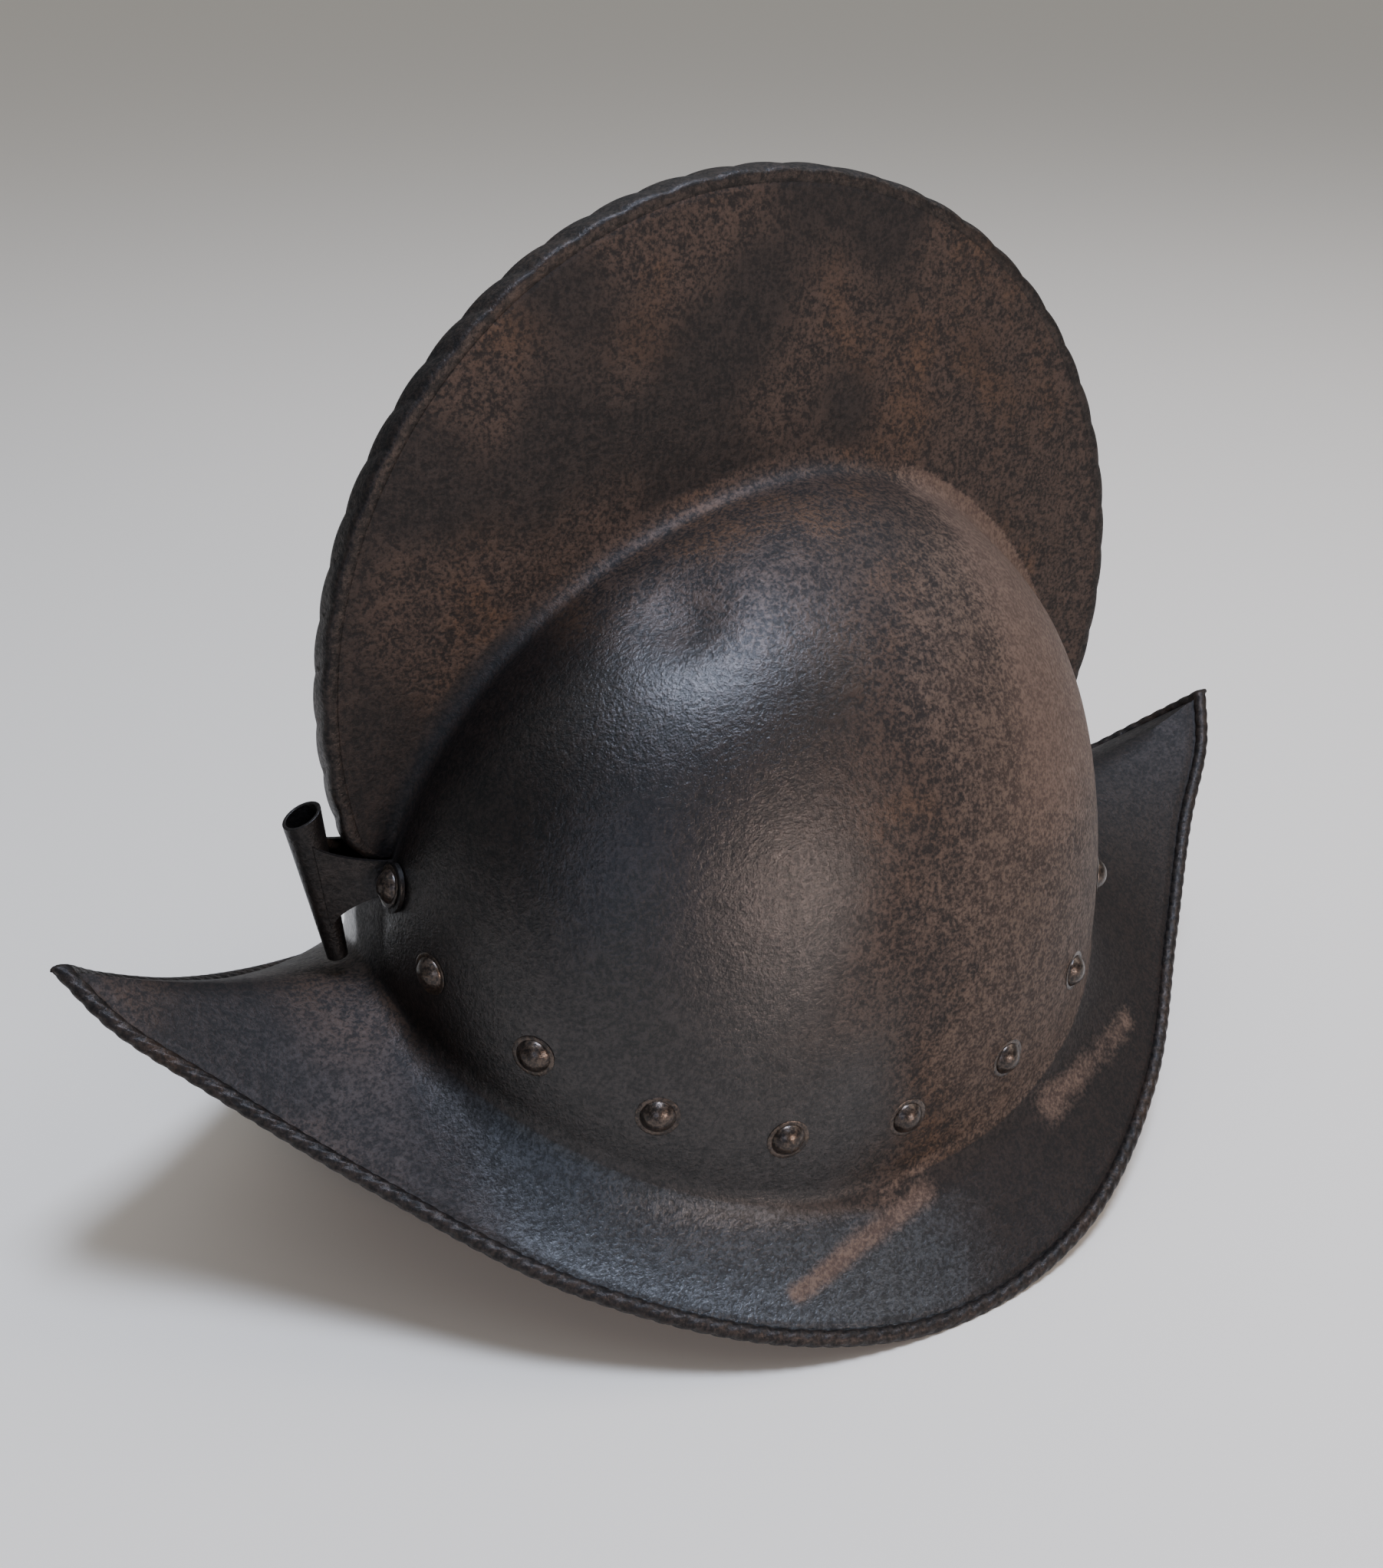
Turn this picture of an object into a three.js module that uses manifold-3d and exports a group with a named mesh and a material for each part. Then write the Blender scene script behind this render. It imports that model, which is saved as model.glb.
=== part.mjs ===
// A comb morion: an open helmet with a boat-shaped brim that rises to a peak in front and
// behind, and a tall crescent comb along the skull. Skull, comb and brim are raised from one
// plate and hollow throughout. The brim's edge is rolled to a bead and the comb's is roped.
// Domed rivets ring the foot of the skull, and a plume holder is riveted on at the rear.
//
// Millimetres. +X points to the wearer's front, +Y to the left and +Z up. The origin lies on
// the surface that the helmet stands on, midway between the tips of the two peaks.

import * as THREE from 'three';
import { mergeVertices } from 'three/addons/utils/BufferGeometryUtils.js';
import Module from 'manifold-3d';

// Whole helmet
const length = 365;               // tip of the rear peak to tip of the front peak
const width = 240;                // across the side brims
const height = 263;               // standing surface to the top of the comb
const plate = 1.4;                // thickness of the metal
const clearance = 0.3;            // gap between separate pieces

// Brim
const rearTipRise = 97;           // height of the rear tip
const frontTipRise = 88;          // height of the front tip
const peakSag = 5;                // how far a peak's ridge hangs below a straight line
const sideSag = 1.2;              // the same for the brim at the side
const beadDiameter = 4.2;         // rolled edge
const beadSides = 8;
const grooveDepth = 0.4;          // line along the inner side of the bead
const standingWear = 0.9;         // metal worn off the bead where the helmet stands

// Skull
const skullMiddle = -1;           // place of its widest section along X
const skullRear = 105;            // from there to the crease behind
const skullFront = 105;           // from there to the crease in front
const skullWidth = 184;           // across the crease at the sides
const skullSquareness = 2.33;     // exponent of its base oval, where 2 is an ellipse
const sideCreaseRise = 26;        // height of the crease at the sides
const rearCreaseRise = 73;        // height of the crease where it meets the rear ridge
const frontCreaseRise = 68;       // height of the crease where it meets the front ridge
const rearCrest = 0.16;           // crease's bump at the rear ridge, as a share of its rise
const frontCrest = 0.05;          // the same at the front ridge
const crestWidth = 0.25;          // of these bumps, as a share of half the skull's width
const skullFullness = 0.065;      // outward swell of its wall, as a share of its reach
const creaseFillet = 6;           // skull to brim, measured along the brim
const creaseFilletUp = 4.5;       // and up the skull
const rootFillet = 7;             // skull to comb

// Root of the comb on the skull
const rootTopX = 20;              // place of its highest point along X
const rootRise = 187;             // height of its highest point
const rootFootRise = 95;          // height at which its curve is widest
const rootRear = 120;             // reach behind the highest point
const rootFront = 89;             // reach in front of it
const rootPointedness = 1.8;      // exponent of the curve, where 2 is an ellipse
const rootThickness = 14;         // comb's thickness at its root

// Comb
const combMiddle = 7;             // centre of its outline along X
const combMiddleRise = 139;       // centre of its outline above the standing surface
const combLength = 238;           // longest extent of its outline
const combThickness = 8.6;        // along its edge
const combCrown = 1.2;            // the middle of the edge stands out by this
const rearFootRise = 105.5;       // underside of its rear end
const frontFootRise = 99;         // underside of its front end
const footRound = 3;              // how far the corner at each end is rounded off
const footRoundLength = 9;
const ropePitch = 13;             // one strand of the roped edge
const ropeDepth = 1;

// Lining rivets
const rivetsPerSide = 9;
const rivetLineRise = 20.5;       // above the crease at the sides
const rivetEndLift = 3;           // and this much more at the front and rear
const rivetEndGap = 32.5;         // along their line, from the middle of the front or rear
const rivetHead = 8;
const rivetHeadHeight = 2.6;
const rivetShank = 3.4;
const rivetTail = 5.6;            // end riveted over inside
const rivetTailHeight = 1.2;
const rivetFacets = 8;

// Plume holder
const tubeTopX = -119.8;          // axis of the tube at its rim
const tubeTopRise = 120.4;
const tubeFootX = -114.6;         // axis of the tube at its lower end
const tubeFootRise = 79;
const tubeTopDiameter = 10;
const tubeFootDiameter = 5.4;
const tubeWall = 0.9;
const rimSlope = 3;               // the rim is this much higher on the skull's side
const tubeFacets = 12;
const tabThickness = 1.2;
const tabRivetOut = 13;           // tab's rivet, from the middle of the helmet
const tabRivetRise = 102;
const tabRadius = 6.3;

// Plate between tube and tab: its heights at the tube, and where it meets the tab, as a share
// of the tab's radius from the rivet
const web = [
  { rise: 89, tab: -0.7 },
  { rise: 114, tab: 0.75 },
];

// Edge of the brim from the middle of a side (along 0) to a tip (along 1). along is a share
// of half the length, out of half the width, and the rises are of each tip's rise.
const brimEdge = [
  { along: 0, out: 1, rearRise: 0, frontRise: 0 },
  { along: 0.25, out: 0.941, rearRise: 0.087, frontRise: 0.051 },
  { along: 0.5, out: 0.726, rearRise: 0.253, frontRise: 0.198 },
  { along: 0.7, out: 0.445, rearRise: 0.482, frontRise: 0.432 },
  { along: 0.85, out: 0.229, rearRise: 0.699, frontRise: 0.665 },
  { along: 0.95, out: 0.104, rearRise: 0.869, frontRise: 0.854 },
  { along: 1, out: 0, rearRise: 1, frontRise: 1 },
];

// Dents in the skull's right side. around runs from the rear middle (0) to the front middle
// (1), up from the crease (0) to the comb (1), and size and depth are shares of skullWidth.
const dents = [
  { around: 0.355, up: 0.775, size: 0.1, depth: 0.014 },
];

// Roped edge from the middle plane (out 0) to the comb's side (out 1): how far a row stands
// out, as a share of combCrown, and how deep its strands are, as a share of ropeDepth
const ropeRows = [
  { out: 0, grow: 1, deep: 1 },
  { out: 0.55, grow: 0.8, deep: 1 },
  { out: 1, grow: 0, deep: 0.3 },
];

// Section of a rivet: radii and heights as shares of its head's and its tail's
const headSection = [[1, 0], [0.8, 0.62], [0, 1]];
const tailSection = [[0, 1], [0.8, 1], [1, 0]];

// Largest share of the comb's side, the skull's wall or the brim that a fillet takes
const filletShares = { comb: 0.3, skullTop: 0.14, skullFoot: 0.15, brim: 0.3 };

// Rows of points up the plate
const brimShares = [0.2, 0.46, 0.74];
const domeSteps = 7;
const combShares = [0.5];
const stepsPerStrand = 4;
const tabPoints = 12;

const { clamp, lerp } = THREE.MathUtils;
const beadRadius = beadDiameter / 2;
const combHalfLength = combLength / 2;
const combHalfHeight = height - combCrown - ropeDepth / 2 - combMiddleRise;

// Outlines of the right half, where y is 0 or less. Each runs from the rear (0) to the front
// (1).

// Outer edge of the brim over a lowest height
function edgeOver(floor) {
  const place = (row, way, tipRise, rise) => new THREE.Vector3(
    way * row.along * length / 2,
    -row.out * width / 2,
    lerp(floor, tipRise, rise),
  );
  const curve = new THREE.CatmullRomCurve3([
    ...brimEdge.slice(1).reverse().map((row) => place(row, -1, rearTipRise, row.rearRise)),
    ...brimEdge.map((row) => place(row, 1, frontTipRise, row.frontRise)),
  ], false, 'centripetal');
  curve.arcLengthDivisions = 600;
  return curve;
}
let edgeCurve = edgeOver(0);

// Crease between skull and brim: a squared oval that rises to the two ridges
function crease(s) {
  const angle = Math.PI * s;
  const rear = Math.cos(angle) > 0;
  const across = Math.abs(Math.cos(angle)) ** (2 / skullSquareness);
  const out = s === 0 || s === 1 ? 0 : Math.sin(angle) ** (2 / skullSquareness);
  const bump = Math.exp(-((out / crestWidth) ** 2)) - across ** 2;
  const rise = (rear ? rearCreaseRise : frontCreaseRise) - sideCreaseRise;
  return new THREE.Vector3(
    skullMiddle + (rear ? -skullRear : skullFront) * across,
    -out * skullWidth / 2,
    sideCreaseRise + rise * (across ** 2 + (rear ? rearCrest : frontCrest) * bump),
  );
}

// Angle on the curve of the comb's root at which it has a given height
const rootAngle = (rise) => Math.asin(
  ((rise - rootFootRise) / (rootRise - rootFootRise)) ** (rootPointedness / 2),
);
const rootStart = rootAngle(rearFootRise);
const rootEnd = Math.PI - rootAngle(frontFootRise);

// Angle on the comb's outline at which it has a given height
const combAngle = (rise) => Math.asin((rise - combMiddleRise) / combHalfHeight);
const combStart = Math.PI - combAngle(rearFootRise);
const combEnd = combAngle(frontFootRise);
const combArc = (combStart - combEnd) * (combHalfLength + combHalfHeight) / 2;

// One column of points for each strand, and one more at each end, where the underside of the
// comb closes on the middle of the helmet
const strands = Math.round(combArc / ropePitch);
const columns = strands + 2;
const combShare = (s) => clamp((s * columns - 1) / strands, 0, 1);
const combOpening = (s) => clamp(Math.min(s, 1 - s) * columns, 0, 1);

function root(s) {
  const angle = lerp(rootStart, rootEnd, combShare(s));
  const across = Math.abs(Math.cos(angle)) ** (2 / rootPointedness);
  const up = Math.sin(angle) ** (2 / rootPointedness);
  return new THREE.Vector3(
    rootTopX + (Math.cos(angle) > 0 ? -rootRear : rootFront) * across,
    -combOpening(s) * lerp(combThickness, rootThickness, up) / 2,
    rootFootRise + up * (rootRise - rootFootRise),
  );
}

// Outline of the comb at a share of its length, grown by some millimetres
function combOutline(share, y, grow) {
  const angle = lerp(combStart, combEnd, share);
  const fromEnd = Math.min(share, 1 - share) * combArc;
  const rounding = footRound * Math.max(0, 1 - fromEnd / footRoundLength) ** 2;
  return new THREE.Vector3(
    combMiddle + (combHalfLength + grow - rounding) * Math.cos(angle),
    y,
    combMiddleRise + (combHalfHeight + grow - rounding) * Math.sin(angle),
  );
}

// Brim at s, from its edge (0) to the crease (1)
function brim(s, share) {
  const sag = lerp(sideSag, peakSag, Math.cos(Math.PI * s) ** 2);
  const point = edgeCurve.getPointAt(s).lerp(crease(s), share);
  point.z -= sag * 4 * share * (1 - share);
  return point;
}

// Skull at s, from the crease (0) to the root of the comb (1), before it was dented
function soundSkull(s, up) {
  const foot = crease(s);
  const top = root(s);
  const angle = up * Math.PI / 2;
  const reach = Math.cos(angle) + skullFullness * Math.sin(2 * angle);
  return new THREE.Vector3(
    lerp(top.x, foot.x, reach),
    lerp(top.y, foot.y, reach),
    lerp(foot.z, top.z, Math.sin(angle)),
  );
}

function skull(s, up, dented) {
  const point = soundSkull(s, up);
  const heart = new THREE.Vector3(skullMiddle, 0, sideCreaseRise);
  for (const dent of dented ? dents : []) {
    const middle = soundSkull(dent.around, dent.up);
    const away = point.distanceTo(middle) / (dent.size * skullWidth);
    if (away > 2.5) continue;
    const inward = heart.clone().sub(middle).normalize();
    point.addScaledVector(inward, dent.depth * skullWidth * Math.exp(-away * away));
  }
  return point;
}

// Middle of the curve that rounds off a corner
function rounded(from, corner, to) {
  return new THREE.QuadraticBezierCurve3(from, corner, to).getPoint(0.5);
}

// Directions across the edge of the brim at s: inwards over the brim, and up from it
function beadFrame(s) {
  const edge = edgeCurve.getPointAt(s);
  const along = edgeCurve.getTangentAt(s);
  const inwards = brim(s, brimShares[0] / 2).sub(edge).normalize();
  const up = new THREE.Vector3().crossVectors(along, inwards);
  if (combOpening(s) === 0) up.y = 0;
  const stretch = 1 / Math.sin(along.angleTo(inwards));
  const share = (beadDiameter + grooveDepth) * stretch / edge.distanceTo(crease(s));
  return { edge, inwards, up: up.normalize(), stretch, share };
}

// Bead at s, from its groove on top round to the underside
function beadAt(s) {
  const { edge, inwards, up, stretch } = beadFrame(s);
  const points = [];
  for (let i = 1; i < beadSides - 1; i += 1) {
    const angle = (i + 0.5) / beadSides * Math.PI * 2;
    points.push(edge.clone()
      .addScaledVector(inwards, beadRadius * (1 + Math.cos(angle)) * stretch)
      .addScaledVector(up, beadRadius * Math.sin(angle) - plate / 2));
  }
  return points;
}

// Section of the plate's outer face at s, from the edge of the comb down to the bead
function outerFaceAt(s, dented) {
  const foot = crease(s);
  const top = root(s);
  const side = combOutline(combShare(s), -combOpening(s) * combThickness / 2, 0);
  const comb = (share) => top.clone().lerp(side, share);
  const bead = beadFrame(s);
  const wall = foot.distanceTo(top);
  const combFoot = Math.min(rootFillet / top.distanceTo(side), filletShares.comb);
  const skullTop = 1 - Math.min(rootFillet / wall, filletShares.skullTop);
  const skullFoot = Math.min(creaseFilletUp / wall, filletShares.skullFoot);
  const brimTop = 1 - Math.min(creaseFillet / foot.distanceTo(bead.edge), filletShares.brim);

  const points = [combOutline(combShare(s), 0, combCrown), side];
  for (const share of [...combShares].reverse()) points.push(comb(lerp(combFoot, 1, share)));
  const combLow = comb(combFoot);
  const skullHigh = skull(s, skullTop, dented);
  points.push(combLow, rounded(combLow, top, skullHigh), skullHigh);
  for (let i = 1; i < domeSteps; i += 1) {
    points.push(skull(s, lerp(skullTop, skullFoot, i / domeSteps), dented));
  }
  const skullLow = skull(s, skullFoot, dented);
  const brimHigh = brim(s, brimTop);
  points.push(skullLow, rounded(skullLow, foot, brimHigh), brimHigh);
  for (const share of [...brimShares].reverse()) {
    points.push(brim(s, lerp(bead.share, brimTop, share)));
  }
  points.push(brim(s, bead.share));
  return points;
}

// The same rows of points set in by a depth, along the mean of the faces around each point. A
// point on the middle plane stays on it. At a sharp corner the depth grows to leastFacing's
// inverse at most.
const leastFacing = 0.6;
function setIn(rows, depth) {
  const normalOf = (a, b, c) => new THREE.Triangle(a, b, c).getNormal(new THREE.Vector3());
  return rows.map((row, r) => row.map((point, j) => {
    const normals = [];
    for (const [down, right] of [[-1, -1], [-1, 1], [1, 1], [1, -1]]) {
      const near = rows[r + down];
      if (!near || !near[j + right]) continue;
      const turned = down * right < 0;
      const corner = near[j + right];
      const [b, c] = turned ? [corner, near[j]] : [near[j], corner];
      const [d, e] = turned ? [row[j + right], corner] : [corner, row[j + right]];
      for (const normal of [normalOf(point, b, c), normalOf(point, d, e)]) {
        if (normal.lengthSq() > 0.5) normals.push(normal);
      }
    }
    const mean = normals.reduce((sum, normal) => sum.add(normal), new THREE.Vector3());
    if (Math.abs(point.y) < 1e-6) mean.y = 0;
    mean.normalize();
    const facing = normals.reduce((sum, normal) => sum + normal.dot(mean), 0) / normals.length;
    return point.clone().addScaledVector(mean, -depth / Math.max(facing, leastFacing));
  }));
}

// Rows of the roped edge, from the middle plane to the comb's side. Its strands slant across
// the edge.
function ropedEdge(side) {
  const count = strands * stepsPerStrand;
  return ropeRows.map(({ out, grow, deep }) => {
    const points = [];
    for (let i = 0; i <= count; i += 1) {
      const turn = i / stepsPerStrand + side * out / 4;
      const wave = deep * ropeDepth / 2 * Math.cos(turn * Math.PI * 2);
      points.push(combOutline(i / count, -out * combThickness / 2, grow * combCrown + wave));
    }
    const closing = (share, point) => (out > 0 ? combOutline(share, 0, 0) : point.clone());
    return [closing(0, points[0]), ...points, closing(1, points[count])];
  });
}

// Triangles between an upper and a lower row. One of the two may be finer: steps holds the
// number of its parts for each part of the other.
function stitch(skin, upper, lower, steps, turned) {
  const coarse = upper.length > lower.length ? lower : upper;
  const fine = upper.length > lower.length ? upper : lower;
  const flip = turned !== (coarse === lower);
  const add = (a, b, c) => (flip ? skin.push(a, c, b) : skin.push(a, b, c));
  let k = 0;
  for (let j = 0; j < coarse.length - 1; j += 1) {
    const end = k + steps[j];
    const half = k + Math.ceil(steps[j] / 2);
    for (; k < half; k += 1) add(coarse[j], fine[k], fine[k + 1]);
    add(coarse[j], fine[k], coarse[j + 1]);
    for (; k < end; k += 1) add(coarse[j + 1], fine[k], fine[k + 1]);
  }
}

// One half of the shell: the plate's outer face, the bead, and the inner face back to the
// comb's edge. side is -1 on the right and 1 on the left.
function halfShell(side) {
  const stations = Array.from({ length: columns + 1 }, (_, j) => j / columns);
  const rowsFrom = (sections) => sections[0].map(
    (_, row) => sections.map((section) => section[row]),
  );
  const outer = rowsFrom(stations.map((s) => outerFaceAt(s, side < 0)));
  const inner = setIn(outer, plate);
  const ridge = inner[0];
  ridge[0] = ridge[1].clone();
  ridge[columns] = ridge[columns - 1].clone();
  const groove = outer.at(-1).map(
    (point, j) => point.clone().addScaledVector(beadFrame(stations[j]).up, -grooveDepth),
  );
  const bead = rowsFrom(stations.map(beadAt));
  const rope = ropedEdge(side);
  const rows = [...rope, ...outer.slice(2, -1), groove, ...bead, ...inner.reverse()];
  for (const point of rows.flat()) point.set(point.x, -side * point.y, Math.max(point.z, 0));

  const single = (row) => Array(row.length - 1).fill(1);
  const skin = [];
  for (let r = 0; r < rows.length - 1; r += 1) {
    const widens = rows[r].length !== rows[r + 1].length;
    const steps = widens ? [1, ...Array(strands).fill(stepsPerStrand), 1] : single(rows[r]);
    stitch(skin, rows[r], rows[r + 1], steps, side > 0);
  }
  return skin;
}

// Solids for cutting and joining

const wasm = await Module();
wasm.setup();

// Closed mesh from the corners of loose triangles
function closedMesh(corners) {
  const loose = new THREE.BufferGeometry().setFromPoints(corners);
  const merged = mergeVertices(loose, 1e-3);
  const index = Array.from(merged.index.array);
  const kept = [];
  for (let i = 0; i < index.length; i += 3) {
    const [a, b, c] = index.slice(i, i + 3);
    if (a !== b && b !== c && c !== a) kept.push(a, b, c);
  }
  merged.setIndex(kept);
  return merged;
}

function toSolid(geometry) {
  const flat = geometry.index ? geometry.toNonIndexed() : geometry;
  const place = flat.attributes.position;
  const corners = [];
  for (let i = 0; i < place.count; i += 1) {
    corners.push(new THREE.Vector3().fromBufferAttribute(place, i));
  }
  const closed = closedMesh(corners);
  return new wasm.Manifold(new wasm.Mesh({
    numProp: 3,
    vertProperties: new Float32Array(closed.attributes.position.array),
    triVerts: new Uint32Array(closed.index.array),
  }));
}

function toGeometry(solid) {
  const mesh = solid.getMesh();
  const geometry = new THREE.BufferGeometry();
  const place = new THREE.BufferAttribute(new Float32Array(mesh.vertProperties), 3);
  geometry.setAttribute('position', place);
  geometry.setIndex(Array.from(mesh.triVerts));
  geometry.computeVertexNormals();
  return geometry;
}

// Shell, standing with its worn bead on the surface
const lowestBead = Math.min(...Array.from({ length: 201 }, (_, i) => i / 200)
  .flatMap((s) => beadAt(s).map((point) => point.z)));
edgeCurve = edgeOver(-lowestBead - standingWear);
const undrilled = closedMesh([...halfShell(-1), ...halfShell(1)]);

// Rivets

// Place and direction of a rivet through the plate, on the face that a line to the middle of
// the helmet meets, and the thickness of the plate there
const bothSides = new THREE.MeshStandardMaterial({ side: THREE.DoubleSide });
const probe = new THREE.Mesh(undrilled, bothSides);
probe.updateMatrixWorld();
function seatAt(point, normal) {
  const start = point.clone().addScaledVector(normal, rivetHead);
  const ray = new THREE.Raycaster(start, normal.clone().negate());
  const [outside] = ray.intersectObject(probe);
  const axis = outside.face.normal.clone();
  const over = outside.point.clone().addScaledVector(axis, plate);
  const back = new THREE.Raycaster(over, axis.clone().negate());
  const [near, far] = back.intersectObject(probe);
  return { point: outside.point, axis, thickness: far.distance - near.distance };
}

function skullNormal(s, up) {
  const step = 1e-3;
  const along = soundSkull(s + step, up).sub(soundSkull(s - step, up));
  const over = soundSkull(s, up + step).sub(soundSkull(s, up - step));
  return new THREE.Vector3().crossVectors(along, over).normalize();
}

// Rivet along +Z, with the face that its head lies on at z = 0
function rivetGeometry(grip) {
  const head = rivetHead / 2;
  const tail = rivetTail / 2;
  const shank = rivetShank / 2;
  const low = -grip;
  const profile = [
    ...tailSection.map(([radius, rise]) => [radius * tail, low - rise * rivetTailHeight]),
    [shank, low],
    [shank, 0],
    ...headSection.map(([radius, rise]) => [radius * head, rise * rivetHeadHeight]),
  ].map(([radius, rise]) => new THREE.Vector2(radius, rise));
  return new THREE.LatheGeometry(profile, rivetFacets).rotateX(Math.PI / 2);
}

const helmetIron = new THREE.MeshStandardMaterial({
  name: 'russet_iron', color: 0x2f2a28, roughness: 0.5, metalness: 0.8,
});
const rivetIron = new THREE.MeshStandardMaterial({
  name: 'rivet_iron', color: 0x3a322c, roughness: 0.42, metalness: 0.85,
});
const holderIron = new THREE.MeshStandardMaterial({
  name: 'holder_iron', color: 0x2b2826, roughness: 0.48, metalness: 0.8,
});

const helmet = new THREE.Group();
helmet.name = 'morion';
const upAxis = new THREE.Vector3(0, 0, 1);
const drills = [];

// Rivet whose head lies on a plate of some thickness over the seat, and the hole for it
function addRivet(name, seat, overlay) {
  const grip = seat.thickness + overlay + 2 * clearance;
  const rivet = new THREE.Mesh(rivetGeometry(grip), rivetIron);
  rivet.name = name;
  rivet.position.copy(seat.point).addScaledVector(seat.axis, overlay + clearance);
  rivet.quaternion.setFromUnitVectors(upAxis, seat.axis);
  helmet.add(rivet);
  const drillLength = 2 * grip + 4 * plate;
  const drill = new THREE.CylinderGeometry(
    rivetShank / 2 + clearance, rivetShank / 2 + clearance, drillLength, rivetFacets,
  ).rotateX(Math.PI / 2);
  drill.applyQuaternion(rivet.quaternion);
  drill.translate(seat.point.x, seat.point.y, seat.point.z);
  drills.push(toSolid(drill));
}

// Line of the lining rivets, at a height above the crease
const rivetUp = (s) => {
  const rise = rivetLineRise + rivetEndLift * Math.cos(Math.PI * s) ** 2;
  return Math.asin(rise / (root(s).z - crease(s).z)) * 2 / Math.PI;
};
const lineSamples = Array.from({ length: 401 }, (_, i) => i / 400);
const linePoints = lineSamples.map((s) => soundSkull(s, rivetUp(s)));
const lineLengths = [0];
for (let i = 1; i < linePoints.length; i += 1) {
  lineLengths.push(lineLengths[i - 1] + linePoints[i].distanceTo(linePoints[i - 1]));
}
const rivetPitch = (lineLengths.at(-1) - 2 * rivetEndGap) / (rivetsPerSide - 1);

for (let i = 0; i < rivetsPerSide; i += 1) {
  const along = rivetEndGap + i * rivetPitch;
  const s = lineSamples[lineLengths.findIndex((reached) => reached >= along)];
  const point = soundSkull(s, rivetUp(s));
  const normal = skullNormal(s, rivetUp(s));
  for (const [word, side] of [['right', -1], ['left', 1]]) {
    const mirror = new THREE.Vector3(1, -side, 1);
    const seat = seatAt(point.clone().multiply(mirror), normal.clone().multiply(mirror));
    addRivet(`lining_rivet_${word}_${i + 1}`, seat, 0);
  }
}

// Plume holder

// Rear of the skull at a distance out from the middle and a height
function rearOfSkull(out, rise) {
  const upAt = (s) => {
    const foot = crease(s).z;
    return Math.asin(Math.min((rise - foot) / (root(s).z - foot), 1)) * 2 / Math.PI;
  };
  let near = 0;
  let far = 1 / 4;
  for (let halvings = 0; halvings < 30; halvings += 1) {
    const middle = (near + far) / 2;
    if (root(middle).z < rise || -soundSkull(middle, upAt(middle)).y < out) near = middle;
    else far = middle;
  }
  const up = upAt(far);
  return {
    point: soundSkull(far, up),
    normal: skullNormal(Math.max(far, 2e-3), Math.min(up, 0.995)),
  };
}

// Round tab that lies on the skull about its rivet, with a straight end towards the tube
function tabSolid(side) {
  const webEnd = tabRivetOut - tabRadius;
  const ringShares = [0.5, 1];
  const layer = (offset) => {
    const at = (share, i) => {
      const angle = i / tabPoints * Math.PI * 2;
      const out = tabRivetOut + share * tabRadius * Math.cos(angle);
      const rise = tabRivetRise + share * tabRadius * Math.sin(angle);
      const { point, normal } = rearOfSkull(Math.max(out, webEnd), rise);
      return point.addScaledVector(normal, offset).multiply(new THREE.Vector3(1, -side, 1));
    };
    const ring = (share) => Array.from({ length: tabPoints }, (_, i) => at(share, i));
    return { middle: at(0, 0), rings: ringShares.map(ring) };
  };
  const under = layer(clearance);
  const over = layer(clearance + tabThickness);
  const corners = [];
  const add = (a, b, c) => (side > 0 ? corners.push(a, b, c) : corners.push(a, c, b));
  for (let i = 0; i < tabPoints; i += 1) {
    const k = (i + 1) % tabPoints;
    add(over.middle, over.rings[0][k], over.rings[0][i]);
    add(under.middle, under.rings[0][i], under.rings[0][k]);
    const loops = [over.rings[0], over.rings[1], under.rings[1], under.rings[0]];
    for (let r = 0; r < loops.length - 1; r += 1) {
      add(loops[r][i], loops[r][k], loops[r + 1][i]);
      add(loops[r][k], loops[r + 1][k], loops[r + 1][i]);
    }
  }
  return toSolid(closedMesh(corners));
}

// Tube along the line from foot to top, cut off on a slope at its rim
function tubeSolid(footRadius, topRadius, stretch) {
  const foot = new THREE.Vector3(tubeFootX, 0, tubeFootRise);
  const top = new THREE.Vector3(tubeTopX, 0, tubeTopRise);
  const tubeLength = foot.distanceTo(top);
  const slope = rimSlope / tubeTopDiameter;
  const tube = new THREE.CylinderGeometry(topRadius, footRadius, tubeLength, tubeFacets);
  tube.rotateX(Math.PI / 2);
  const place = tube.attributes.position;
  for (let i = 0; i < place.count; i += 1) {
    const end = Math.sign(place.getZ(i));
    const rim = end > 0 ? slope * place.getX(i) : 0;
    place.setZ(i, place.getZ(i) + end * stretch + rim);
  }
  const turn = new THREE.Quaternion().setFromUnitVectors(upAxis, top.clone().sub(foot).normalize());
  tube.applyQuaternion(turn);
  const middle = foot.add(top).divideScalar(2);
  return toSolid(tube.translate(middle.x, 0, middle.z));
}

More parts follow.
